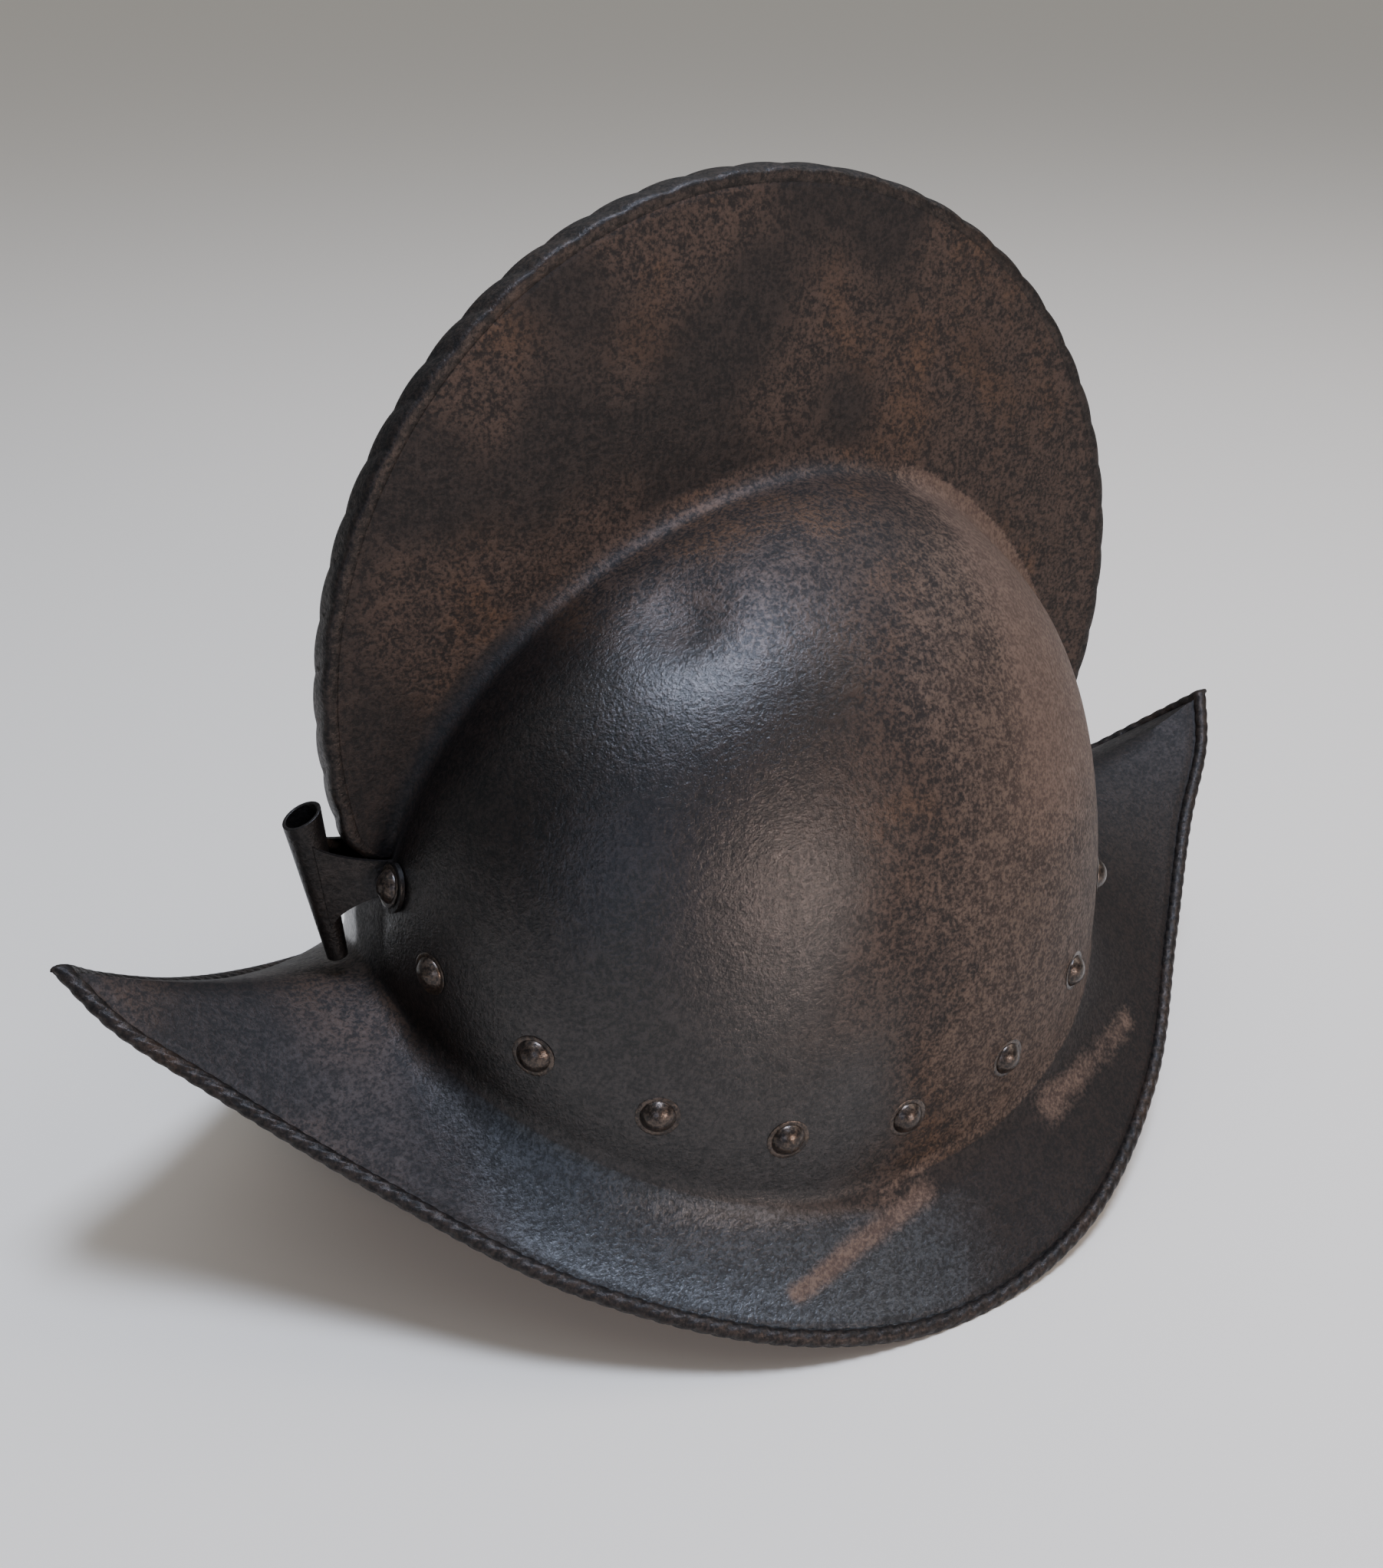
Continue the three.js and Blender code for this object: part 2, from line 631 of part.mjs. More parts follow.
// Plate between the tube's side and the tab, standing beside the foot of the comb
function webSolid(side) {
  const axisAt = (rise) => {
    const share = (rise - tubeFootRise) / (tubeTopRise - tubeFootRise);
    return {
      x: lerp(tubeFootX, tubeTopX, share),
      radius: lerp(tubeFootDiameter, tubeTopDiameter, share) / 2,
    };
  };
  const webEnd = tabRivetOut - tabRadius + tabThickness;
  const overlap = tabThickness / 10;
  const corners = [];
  for (const row of web) {
    const tube = axisAt(row.rise);
    const tab = rearOfSkull(webEnd, tabRivetRise + row.tab * tabRadius);
    const near = tab.point.clone().addScaledVector(tab.normal, clearance + overlap);
    const far = tab.point.clone().addScaledVector(tab.normal, clearance + tabThickness - overlap);
    corners.push(
      new THREE.Vector3(tube.x, -(tube.radius - tabThickness), row.rise),
      new THREE.Vector3(near.x, near.y + tabThickness / 2, near.z),
      new THREE.Vector3(far.x, far.y - tabThickness / 2, far.z),
      new THREE.Vector3(tube.x, -(tube.radius - overlap), row.rise),
    );
  }
  for (const corner of corners) corner.y *= -side;
  const faces = [
    [0, 1, 2], [0, 2, 3], [4, 6, 5], [4, 7, 6],
    [0, 5, 1], [0, 4, 5], [1, 6, 2], [1, 5, 6],
    [2, 7, 3], [2, 6, 7], [3, 4, 0], [3, 7, 4],
  ];
  const order = side < 0 ? [0, 1, 2] : [0, 2, 1];
  return toSolid(closedMesh(faces.flatMap((face) => order.map((k) => corners[face[k]]))));
}

let holder = tubeSolid(tubeFootDiameter / 2, tubeTopDiameter / 2, 0);
for (const [word, side] of [['right', -1], ['left', 1]]) {
  holder = holder.add(tabSolid(side)).add(webSolid(side));
  const { point, normal } = rearOfSkull(tabRivetOut, tabRivetRise);
  const mirror = new THREE.Vector3(1, -side, 1);
  const seat = seatAt(point.multiply(mirror), normal.multiply(mirror));
  addRivet(`plume_rivet_${word}`, seat, clearance + tabThickness);
}
const bore = tubeSolid(tubeFootDiameter / 2 - tubeWall, tubeTopDiameter / 2 - tubeWall, 1);
holder = holder.subtract(bore);

let shell = toSolid(undrilled);
for (const drill of drills) shell = shell.subtract(drill);
for (const drill of drills.slice(-2)) holder = holder.subtract(drill);

for (const [name, solid, metal] of [
  ['helmet_shell', shell, helmetIron],
  ['plume_holder', holder, holderIron],
]) {
  const piece = new THREE.Mesh(toGeometry(solid), metal);
  piece.name = name;
  helmet.add(piece);
}

export default helmet;
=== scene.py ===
"""Looks of a comb morion: a raised iron helmet with a peaked brim, a tall comb and a plume tube.

The form is worked out in millimetres, with +X to the wearer's front, +Y to the left and +Z up,
and each piece is brought to metres when it is finished. A share runs from 0 to 1.
"""

import logging
import math
from bisect import bisect_left
from dataclasses import dataclass, field
from enum import Enum

import bmesh
import bpy
from bmesh.types import BMesh, BMLayerItem, BMVert
from bpy.types import ID, Material, Node, NodeSocket, NodeTree, Object
from mathutils import Matrix, Vector, noise
from mathutils.bvhtree import BVHTree


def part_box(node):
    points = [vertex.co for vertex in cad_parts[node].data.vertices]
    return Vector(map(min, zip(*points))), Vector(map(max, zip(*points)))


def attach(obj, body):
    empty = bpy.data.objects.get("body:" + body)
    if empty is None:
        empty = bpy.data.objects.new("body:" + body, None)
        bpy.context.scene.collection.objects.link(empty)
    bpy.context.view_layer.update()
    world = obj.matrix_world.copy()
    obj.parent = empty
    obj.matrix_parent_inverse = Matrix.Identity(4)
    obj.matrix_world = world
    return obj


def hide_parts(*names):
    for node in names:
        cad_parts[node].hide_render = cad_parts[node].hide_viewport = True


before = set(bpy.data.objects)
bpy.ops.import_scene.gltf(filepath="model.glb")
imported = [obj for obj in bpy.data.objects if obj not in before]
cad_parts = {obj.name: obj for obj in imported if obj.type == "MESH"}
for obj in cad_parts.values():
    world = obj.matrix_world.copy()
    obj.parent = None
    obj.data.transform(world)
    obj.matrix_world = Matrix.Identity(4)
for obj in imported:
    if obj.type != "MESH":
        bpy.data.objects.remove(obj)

log = logging.getLogger("morion")

METRES = 0.001
WELD = 0.004


# Helpers


def lerp(a: float, b: float, share: float) -> float:
    """Value a share of the way from a to b."""
    return a + (b - a) * share


def clamp(value: float, low: float = 0.0, high: float = 1.0) -> float:
    """Value held between two limits."""
    return max(low, min(high, value))


def ease(low: float, high: float, value: float) -> float:
    """Smooth step from 0 at low to 1 at high."""
    share = clamp((value - low) / (high - low))
    return share * share * (3 - 2 * share)


def powered(value: float, power: float) -> float:
    """Power of a value's size, with the value's sign."""
    return math.copysign(abs(value) ** power, value)


def rounded(start: Vector, corner: Vector, end: Vector, share: float) -> Vector:
    """Point on the curve that rounds off a corner."""
    return start.lerp(corner, share).lerp(corner.lerp(end, share), share)


def linear(code: str, alpha: float = 1.0) -> tuple[float, float, float, float]:
    """Turn an sRGB hex colour into linear values.

    Args:
        code: Colour such as "#2f2a28".
        alpha: Fourth value.

    Returns:
        Red, green, blue and alpha.
    """
    values = [int(code[i : i + 2], 16) / 255 for i in (1, 3, 5)]
    return (
        *[v / 12.92 if v <= 0.04045 else ((v + 0.055) / 1.055) ** 2.4 for v in values],
        alpha,
    )


def add_node(
    tree: NodeTree, kind: str, inputs: dict[str | int, object] | None = None, **settings: object
) -> Node:
    """Add a node with its settings, values and links.

    Args:
        tree: Node tree that takes the node.
        kind: Node type.
        inputs: Sockets by name or number, each with a value or with a socket to link from.
        settings: Properties of the node.

    Returns:
        The new node.
    """
    node = tree.nodes.new(kind)
    for name, value in settings.items():
        setattr(node, name, value)
    for key, value in (inputs or {}).items():
        if isinstance(value, NodeSocket):
            tree.links.new(value, node.inputs[key])
        else:
            node.inputs[key].default_value = value
    return node


def put(name: str, data: ID) -> Object:
    """Put a new object into the scene.

    Args:
        name: Name of the object.
        data: Its mesh, light or camera.

    Returns:
        The object.
    """
    made = bpy.data.objects.new(name, data)
    bpy.context.scene.collection.objects.link(made)
    return made


# Form of the helmet


@dataclass
class EdgeLine:
    """Smooth line through the knots of the brim's edge, measured along its length.

    Attributes:
        knots: Points that the line passes through.
        steps: Parts that its length is measured in.
        reached: Length of the line up to each step.
    """

    knots: list[Vector]
    steps: int = 600
    reached: list[float] = field(init=False)

    def __post_init__(self) -> None:
        """Measure the line."""
        places = [self._spot(i / self.steps) for i in range(self.steps + 1)]
        self.reached = [0.0]
        for a, b in zip(places, places[1:]):
            self.reached.append(self.reached[-1] + (b - a).length)

    def _spot(self, share: float) -> Vector:
        """Work out a point of the centripetal curve through the knots.

        Args:
            share: Share of the number of knots.

        Returns:
            Point on the line.
        """
        last = len(self.knots) - 1
        i = min(int(share * last), last - 1)
        weight = share * last - i
        b, c = self.knots[i], self.knots[i + 1]
        a = self.knots[i - 1] if i > 0 else b * 2 - c
        d = self.knots[i + 2] if i + 2 <= last else c * 2 - b
        ab, bc, cd = ((q - p).length ** 0.5 for p, q in ((a, b), (b, c), (c, d)))
        leave = ((b - a) / ab - (c - a) / (ab + bc) + (c - b) / bc) * bc
        arrive = ((c - b) / bc - (d - b) / (bc + cd) + (d - c) / cd) * bc
        cubic = b * 2 - c * 2 + leave + arrive
        square = c * 3 - b * 3 - leave * 2 - arrive
        return b + (leave + (square + cubic * weight) * weight) * weight

    @property
    def extent(self) -> float:
        """Length of the line."""
        return self.reached[-1]

    def at(self, share: float) -> Vector:
        """Find a point by its place along the line.

        Args:
            share: Share of the length.

        Returns:
            Point on the line.
        """
        target = clamp(share) * self.extent
        i = max(1, min(self.steps, bisect_left(self.reached, target)))
        low, high = self.reached[i - 1], self.reached[i]
        return self._spot((i - 1 + (target - low) / (high - low)) / self.steps)

    def heading(self, share: float) -> Vector:
        """Direction of the line at a share of the length."""
        step = 1e-4
        return (self.at(share + step) - self.at(share - step)).normalized()


@dataclass(frozen=True)
class Dent:
    """Dent in the right side of the skull.

    Attributes:
        around: Place from the rear middle (0) to the front middle (1).
        up: Place from the crease (0) to the comb (1).
        reach: Distance from its middle at which it is about a third as deep.
        depth: Depth at its middle.
    """

    around: float
    up: float
    reach: float
    depth: float


@dataclass
class HelmetForm:
    """Surface of the plate's outer face, as the solids have it.

    A place on it has s, from the rear middle (0) by the right side to the front middle (1), and
    its y is 0 or less. The fields hold the same sizes as the solids: a rise is a height over the
    standing surface, and the lines worked out from them follow at the end.
    """

    # Whole helmet and its plate
    length: float = 365.0
    width: float = 240.0
    height: float = 263.0
    plate: float = 1.4
    # Brim: rises of its edge, how far it sags towards the crease, and the bead along it
    edge_rise: float = 0.48
    rear_tip_rise: float = 97.0
    front_tip_rise: float = 88.0
    peak_sag: float = 5.0
    side_sag: float = 1.2
    bead_radius: float = 2.1
    groove_depth: float = 0.4
    # Skull: its foot from above, the rises of the crease round it, and its fullness halfway up
    skull_middle: float = -1.0
    skull_rear: float = 105.0
    skull_front: float = 105.0
    skull_width: float = 184.0
    squareness: float = 2.33
    side_crease_rise: float = 26.0
    rear_crease_rise: float = 73.0
    front_crease_rise: float = 68.0
    rear_crest: float = 0.16
    front_crest: float = 0.05
    crest_width: float = 0.25
    fullness: float = 0.065
    crease_fillet: float = 6.0
    crease_fillet_up: float = 4.5
    # Root of the comb: the line where it leaves the skull
    root_fillet: float = 7.0
    root_top: float = 20.0
    root_rise: float = 187.0
    root_foot_rise: float = 95.0
    root_rear: float = 120.0
    root_front: float = 89.0
    pointedness: float = 1.8
    root_thickness: float = 14.0
    # Comb: its outline from the side, its rounded feet and the rope along it
    comb_middle: float = 7.0
    comb_middle_rise: float = 139.0
    comb_length: float = 238.0
    comb_thickness: float = 8.6
    comb_crown: float = 1.2
    rear_foot_rise: float = 105.5
    front_foot_rise: float = 99.0
    foot_round: float = 3.0
    foot_round_length: float = 9.0
    rope_pitch: float = 13.0
    rope_depth: float = 1.0
    # Edge of the brim: share along to the tip, share out, and shares up at the rear and in front
    edge_rows: tuple[tuple[float, float, float, float], ...] = (
        (0.0, 1.0, 0.0, 0.0),
        (0.25, 0.941, 0.087, 0.051),
        (0.5, 0.726, 0.253, 0.198),
        (0.7, 0.445, 0.482, 0.432),
        (0.85, 0.229, 0.699, 0.665),
        (0.95, 0.104, 0.869, 0.854),
        (1.0, 0.0, 1.0, 1.0),
    )
    dents: tuple[Dent, ...] = (Dent(0.355, 0.775, 12.5, 3.3),)

    edge: EdgeLine = field(init=False)
    comb_half_length: float = field(init=False)
    comb_half_height: float = field(init=False)
    comb_start: float = field(init=False)
    comb_end: float = field(init=False)
    comb_arc: float = field(init=False)
    strands: int = field(init=False)
    columns: int = field(init=False)
    root_start: float = field(init=False)
    root_end: float = field(init=False)

    def __post_init__(self) -> None:
        """Work out the lines that the surface runs between."""
        rear = self._edge_knots(-1, self.rear_tip_rise)
        front = self._edge_knots(1, self.front_tip_rise)
        self.edge = EdgeLine(rear[:0:-1] + front)
        self.comb_half_length = self.comb_length / 2
        self.comb_half_height = (
            self.height - self.comb_crown - self.rope_depth / 2 - self.comb_middle_rise
        )
        self.comb_start = math.pi - self._comb_angle(self.rear_foot_rise)
        self.comb_end = self._comb_angle(self.front_foot_rise)
        self.comb_arc = (
            (self.comb_start - self.comb_end)
            * (self.comb_half_length + self.comb_half_height)
            / 2
        )
        self.strands = round(self.comb_arc / self.rope_pitch)
        self.columns = self.strands + 2
        self.root_start = self._root_angle(self.rear_foot_rise)
        self.root_end = math.pi - self._root_angle(self.front_foot_rise)

    def _edge_knots(self, way: int, tip_rise: float) -> list[Vector]:
        """Place the knots of the brim's edge, from its lowest part to a tip.

        Args:
            way: 1 to the front and -1 to the rear.
            tip_rise: Height of the tip.

        Returns:
            Points on the right side.
        """
        knots = []
        for along, out, rear_rise, front_rise in self.edge_rows:
            rise = front_rise if way > 0 else rear_rise
            x, y = way * along * self.length / 2, -out * self.width / 2
            knots.append(Vector((x, y, lerp(self.edge_rise, tip_rise, rise))))
        return knots

    def _comb_angle(self, rise: float) -> float:
        """Angle on the comb's outline at a height."""
        return math.asin((rise - self.comb_middle_rise) / self.comb_half_height)

    def _root_angle(self, rise: float) -> float:
        """Angle on the curve of the comb's root at a height."""
        share = (rise - self.root_foot_rise) / (self.root_rise - self.root_foot_rise)
        return math.asin(share ** (self.pointedness / 2))

    def crease(self, s: float) -> Vector:
        """Find the crease between skull and brim.

        Args:
            s: Place round the skull.

        Returns:
            Point on the crease.
        """
        angle = math.pi * s
        rear = math.cos(angle) > 0
        across = abs(math.cos(angle)) ** (2 / self.squareness)
        out = 0.0 if s in (0, 1) else math.sin(angle) ** (2 / self.squareness)
        bump = math.exp(-((out / self.crest_width) ** 2)) - across**2
        rise = (self.rear_crease_rise if rear else self.front_crease_rise) - self.side_crease_rise
        crest = self.rear_crest if rear else self.front_crest
        return Vector(
            (
                self.skull_middle + (-self.skull_rear if rear else self.skull_front) * across,
                -out * self.skull_width / 2,
                self.side_crease_rise + rise * (across**2 + crest * bump),
            )
        )

    def comb_share(self, s: float) -> float:
        """Share of the comb's length that belongs to s."""
        return clamp((s * self.columns - 1) / self.strands)

    def comb_opening(self, s: float) -> float:
        """How far the comb's sides stand apart, where its underside closes at the ends."""
        return clamp(min(s, 1 - s) * self.columns)

    def root(self, s: float) -> Vector:
        """Find the line where the comb's side leaves the skull.

        Args:
            s: Place round the skull.

        Returns:
            Point on the line.
        """
        angle = lerp(self.root_start, self.root_end, self.comb_share(s))
        across = abs(math.cos(angle)) ** (2 / self.pointedness)
        up = math.sin(angle) ** (2 / self.pointedness)
        reach = -self.root_rear if math.cos(angle) > 0 else self.root_front
        thick = lerp(self.comb_thickness, self.root_thickness, up)
        return Vector(
            (
                self.root_top + reach * across,
                -self.comb_opening(s) * thick / 2,
                self.root_foot_rise + up * (self.root_rise - self.root_foot_rise),
            )
        )

    def comb_outline(self, share: float, y: float, grow: float) -> Vector:
        """Find a point of the comb's outline from the side.

        Args:
            share: Share of the comb's length.
            y: Place across the comb.
            grow: Distance outside the outline.

        Returns:
            The point.
        """
        angle = lerp(self.comb_start, self.comb_end, share)
        from_end = min(share, 1 - share) * self.comb_arc
        taken = self.foot_round * max(0.0, 1 - from_end / self.foot_round_length) ** 2
        return Vector(
            (
                self.comb_middle + (self.comb_half_length + grow - taken) * math.cos(angle),
                y,
                self.comb_middle_rise + (self.comb_half_height + grow - taken) * math.sin(angle),
            )
        )

    def brim(self, s: float, share: float) -> Vector:
        """Find a point of the brim.

        Args:
            s: Place along the edge.
            share: Share of the way from the edge (0) to the crease (1).

        Returns:
            The point.
        """
        sag = lerp(self.side_sag, self.peak_sag, math.cos(math.pi * s) ** 2)
        point = self.edge.at(s).lerp(self.crease(s), share)
        point.z -= sag * 4 * share * (1 - share)
        return point

    def skull(self, s: float, up: float) -> Vector:
        """Find a point of the skull, before it was dented.

        Args:
            s: Place round the skull.
            up: Share of the way from the crease (0) to the root of the comb (1).

        Returns:
            The point.
        """
        foot, top = self.crease(s), self.root(s)
        angle = up * math.pi / 2
        reach = math.cos(angle) + self.fullness * math.sin(2 * angle)
        return Vector(
            (
                lerp(top.x, foot.x, reach),
                lerp(top.y, foot.y, reach),
                lerp(foot.z, top.z, math.sin(angle)),
            )
        )

    def dented(self, point: Vector) -> Vector:
        """Move a point of the right side in by the dents.

        Args:
            point: Point of the skull.

        Returns:
            The point after the dents.
        """
        heart = Vector((self.skull_middle, 0.0, self.side_crease_rise))
        moved = point.copy()
        for dent in self.dents:
            middle = self.skull(dent.around, dent.up)
            away = (point - middle).length / dent.reach
            moved += (heart - middle).normalized() * dent.depth * math.exp(-away * away)
        return moved

    def bead_frame(self, s: float) -> tuple[Vector, Vector, float]:
        """Work out the directions across the edge of the brim.

        Args:
            s: Place along the edge.

        Returns:
            Direction inwards over the brim, direction up from it, and how much a section across
            it is stretched where the edge comes to a tip.
        """
        heading = self.edge.heading(s)
        inwards = (self.brim(s, 0.1) - self.edge.at(s)).normalized()
        up = heading.cross(inwards)
        if self.comb_opening(s) == 0:
            up.y = 0
        return inwards, up.normalized(), 1 / math.sin(heading.angle(inwards))


# Patinas


class Region(Enum):
    """Parts of the plate."""

    COMB = 0
    SKULL = 1
    BRIM = 2


@dataclass(frozen=True)
class Span:
    """Stretch over which something comes in smoothly.

    Attributes:
        start: Value at which its share is 0.
        end: Value at which its share is 1, lower than the start where it fades out.
    """

    start: float
    end: float

    def share(self, value: float) -> float:
        """Share at a value."""
        return ease(self.start, self.end, value)


@dataclass(frozen=True)
class Streak:
    """Rust streak on the right brim.

    Attributes:
        start: One end.
        end: Its other end.
        width: Distance from its middle at which it is about a third as strong.
        strength: Its share in the middle.
        taper: Shares of the width at both ends.
        softness: Exponent of the fall towards its sides.
    """

    start: tuple[float, float, float]
    end: tuple[float, float, float]
    width: float
    strength: float
    taper: tuple[float, float] = (1.1, 0.8)
    softness: float = 1.7

    def share(self, place: Vector) -> float:
        """Work out how strong the streak is.

        Args:
            place: Point on the plate.

        Returns:
            Share from 0 to the strength.
        """
        start = Vector(self.start)
        line = Vector(self.end) - start
        along = clamp((place - start).dot(line) / line.length_squared)
        width = self.width * lerp(*self.taper, along)
        away = (place - start - line * along).length / width
        return self.strength * math.exp(-(away**self.softness))


@dataclass
class Stain:
    """Shares of the patinas, and of painted light, at a place.

    Attributes:
        tan: Dry tan, where the brown was rubbed off.
        streak: Fresh rust on the brim; on the skull's upper front, a painted highlight of light
            from above.
        black: Waxed black.
        blue: Blue-grey painted reflection of a cool window on the brim.
    """

    tan: float = 0.0
    streak: float = 0.0
    black: float = 0.0
    blue: float = 0.0


@dataclass(frozen=True)
class Patina:
    """Where each patina and the painted light lie on the plate.

    Spans named for a rise run up, the others along from the rear, in millimetres. Those named
    for a reach count from the skull's middle (0) past its foot (1).
    """

    cloud_size: float = 30.0
    cloud_seed: tuple[float, float, float] = (3.0, 1.0, 4.0)
    # Skull: black behind a border that wanders and leans forward above, tan before it. Light from
    # above is painted in: the tan fades towards the foot (painted shade) and the front takes the
    # lighter streak colour towards the top (painted highlight)
    border: float = -1.0
    border_wander: float = 20.0
    border_lean: float = 40.0
    lean_rise: float = 120.0
    lean_height: float = 60.0
    skull_black: Span = Span(18.0, -50.0)
    crown_wear: float = 0.8
    crown_rise: Span = Span(145.0, 178.0)
    skull_tan: Span = Span(-30.0, 52.0)
    # Painted shade: the tan is weaker towards the skull's foot
    painted_shade_foot_tan: float = 0.8
    painted_shade_foot_tan_rise: Span = Span(30.0, 90.0)
    # Painted highlight: the lighter streak colour on the skull's front towards the top
    painted_highlight: float = 0.95
    painted_highlight_along: Span = Span(14.0, 60.0)
    painted_highlight_rise: Span = Span(70.0, 135.0)
    # Brim: a painted blue reflection of a cool window round the skull's foot, black in the crease
    # and in front
    foot: tuple[float, float] = (105.0, 92.0)
    foot_reach: Span = Span(1.0, 1.08)
    blue: float = 0.95
    blue_reach: Span = Span(1.75, 1.1)
    blue_rear: Span = Span(-125.0, -80.0)
    blue_loss: float = 0.9
    blue_front: Span = Span(-20.0, 40.0)
    front_black: float = 1.1
    front_black_along: Span = Span(-45.0, 25.0)
    crease_black: float = 0.8
    least_black: float = 0.6
    brim_clouds: float = 0.5
    # Comb: clouds of black, most of it low and to the rear, and a little tan in front
    comb_black: float = 0.5
    comb_black_along: Span = Span(85.0, 20.0)
    comb_clouds: float = 0.75
    comb_foot_black: float = 0.75
    comb_foot_rise: Span = Span(165.0, 120.0)
    comb_foot_along: Span = Span(20.0, -60.0)
    comb_tan: float = 0.2
    comb_tan_along: Span = Span(60.0, 110.0)
    # Wax: kept on the skull's black away from the comb and, thinner, on the brim's blue
    wax_out: Span = Span(8.0, 14.0)
    skull_wax: float = 1.2
    brim_wax: float = 0.96
    streaks: tuple[Streak, ...] = (
        Streak((4, -95.5, 22.5), (-40, -104, 15.5), 4.8, 0.76),
        Streak((-8, -93, 25.5), (34, -89, 36), 2.2, 0.68),
        Streak((50, -87, 28), (90, -71, 31), 7.2, 0.72),
    )

    def at(self, place: Vector, region: Region) -> Stain:
        """Work out the patinas at a place.

        Args:
            place: Point on the plate.
            region: Part of the plate.

        Returns:
            Their shares.
        """
        cloud = noise.noise(place / self.cloud_size + Vector(self.cloud_seed))
        part = {Region.SKULL: self._skull, Region.BRIM: self._brim, Region.COMB: self._comb}
        stain = part[region](place, cloud)
        if place.y < 0 and region is not Region.COMB:
            stain.streak = max(stain.streak, *(streak.share(place) for streak in self.streaks))
        return stain

    def _skull(self, place: Vector, cloud: float) -> Stain:
        """Work out the patinas of the skull.

        Args:
            place: Point on the skull.
            cloud: Noise there, from -1 to 1.

        Returns:
            Their shares.
        """
        x, z = place.x, place.z
        lean = self.border_lean * max(0.0, (z - self.lean_rise) / self.lean_height) ** 2
        border = self.border + lean + self.border_wander * cloud
        # Painted highlight: the front takes the lighter streak colour towards the top
        rust = self.painted_highlight * self.painted_highlight_rise.share(z)
        worn = 1 - self.crown_wear * self.crown_rise.share(z)
        # Painted shade: the tan fades towards the foot
        return Stain(
            tan=self.skull_tan.share(x - border)
            * lerp(self.painted_shade_foot_tan, 1.0, self.painted_shade_foot_tan_rise.share(z)),
            streak=rust * self.painted_highlight_along.share(x - border / 3),
            black=self.skull_black.share(x - border) * worn,
        )

    def _brim(self, place: Vector, cloud: float) -> Stain:
        """Work out the patinas of the brim.

        Args:
            place: Point on the brim.
            cloud: Noise there, from -1 to 1.

        Returns:
            Their shares.
        """
        x = place.x
        reach = math.hypot(x / self.foot[0], place.y / self.foot[1])
        outside = self.foot_reach.share(reach)
        # Painted reflection: the blue-grey of a cool window, round the skull's foot
        blue = self.blue * self.blue_reach.share(reach) * outside * self.blue_rear.share(x)
        black = max(
            self.front_black * self.front_black_along.share(x),
            self.crease_black * (1 - outside),
            self.least_black,
        )
        return Stain(
            black=clamp(black + self.brim_clouds * cloud),
            blue=blue * (1 - self.blue_loss * self.blue_front.share(x)),
        )

    def _comb(self, place: Vector, cloud: float) -> Stain:
        """Work out the patinas of the comb.

        Args:
            place: Point on the comb.
            cloud: Noise there, from -1 to 1.

        Returns:
            Their shares.
        """
        x = place.x
        clouds = self.comb_black * self.comb_black_along.share(x) + self.comb_clouds * cloud
        foot = self.comb_foot_rise.share(place.z) * self.comb_foot_along.share(x)
        return Stain(
            tan=self.comb_tan * self.comb_tan_along.share(x),
            black=max(clamp(clouds), self.comb_foot_black * foot),
        )

    def wax(self, stain: Stain, place: Vector, region: Region) -> float:
        """Work out how much wax is left.

        Args:
            stain: Patinas at the place.
            place: Point on the plate.
            region: Part of the plate.

        Returns:
            Share of the wax.
        """
        left = {
            Region.SKULL: self.skull_wax * stain.black * self.wax_out.share(abs(place.y)),
            Region.BRIM: self.brim_wax * stain.blue,
            Region.COMB: 0.0,
        }
        return clamp(left[region])


# Finishes


@dataclass(frozen=True)
class Tones:
    """Two colours that a patina is speckled with.

    Attributes:
        low: Colour of the pits.
        high: Colour of the rubbed grain between them.
    """

    low: str
    high: str


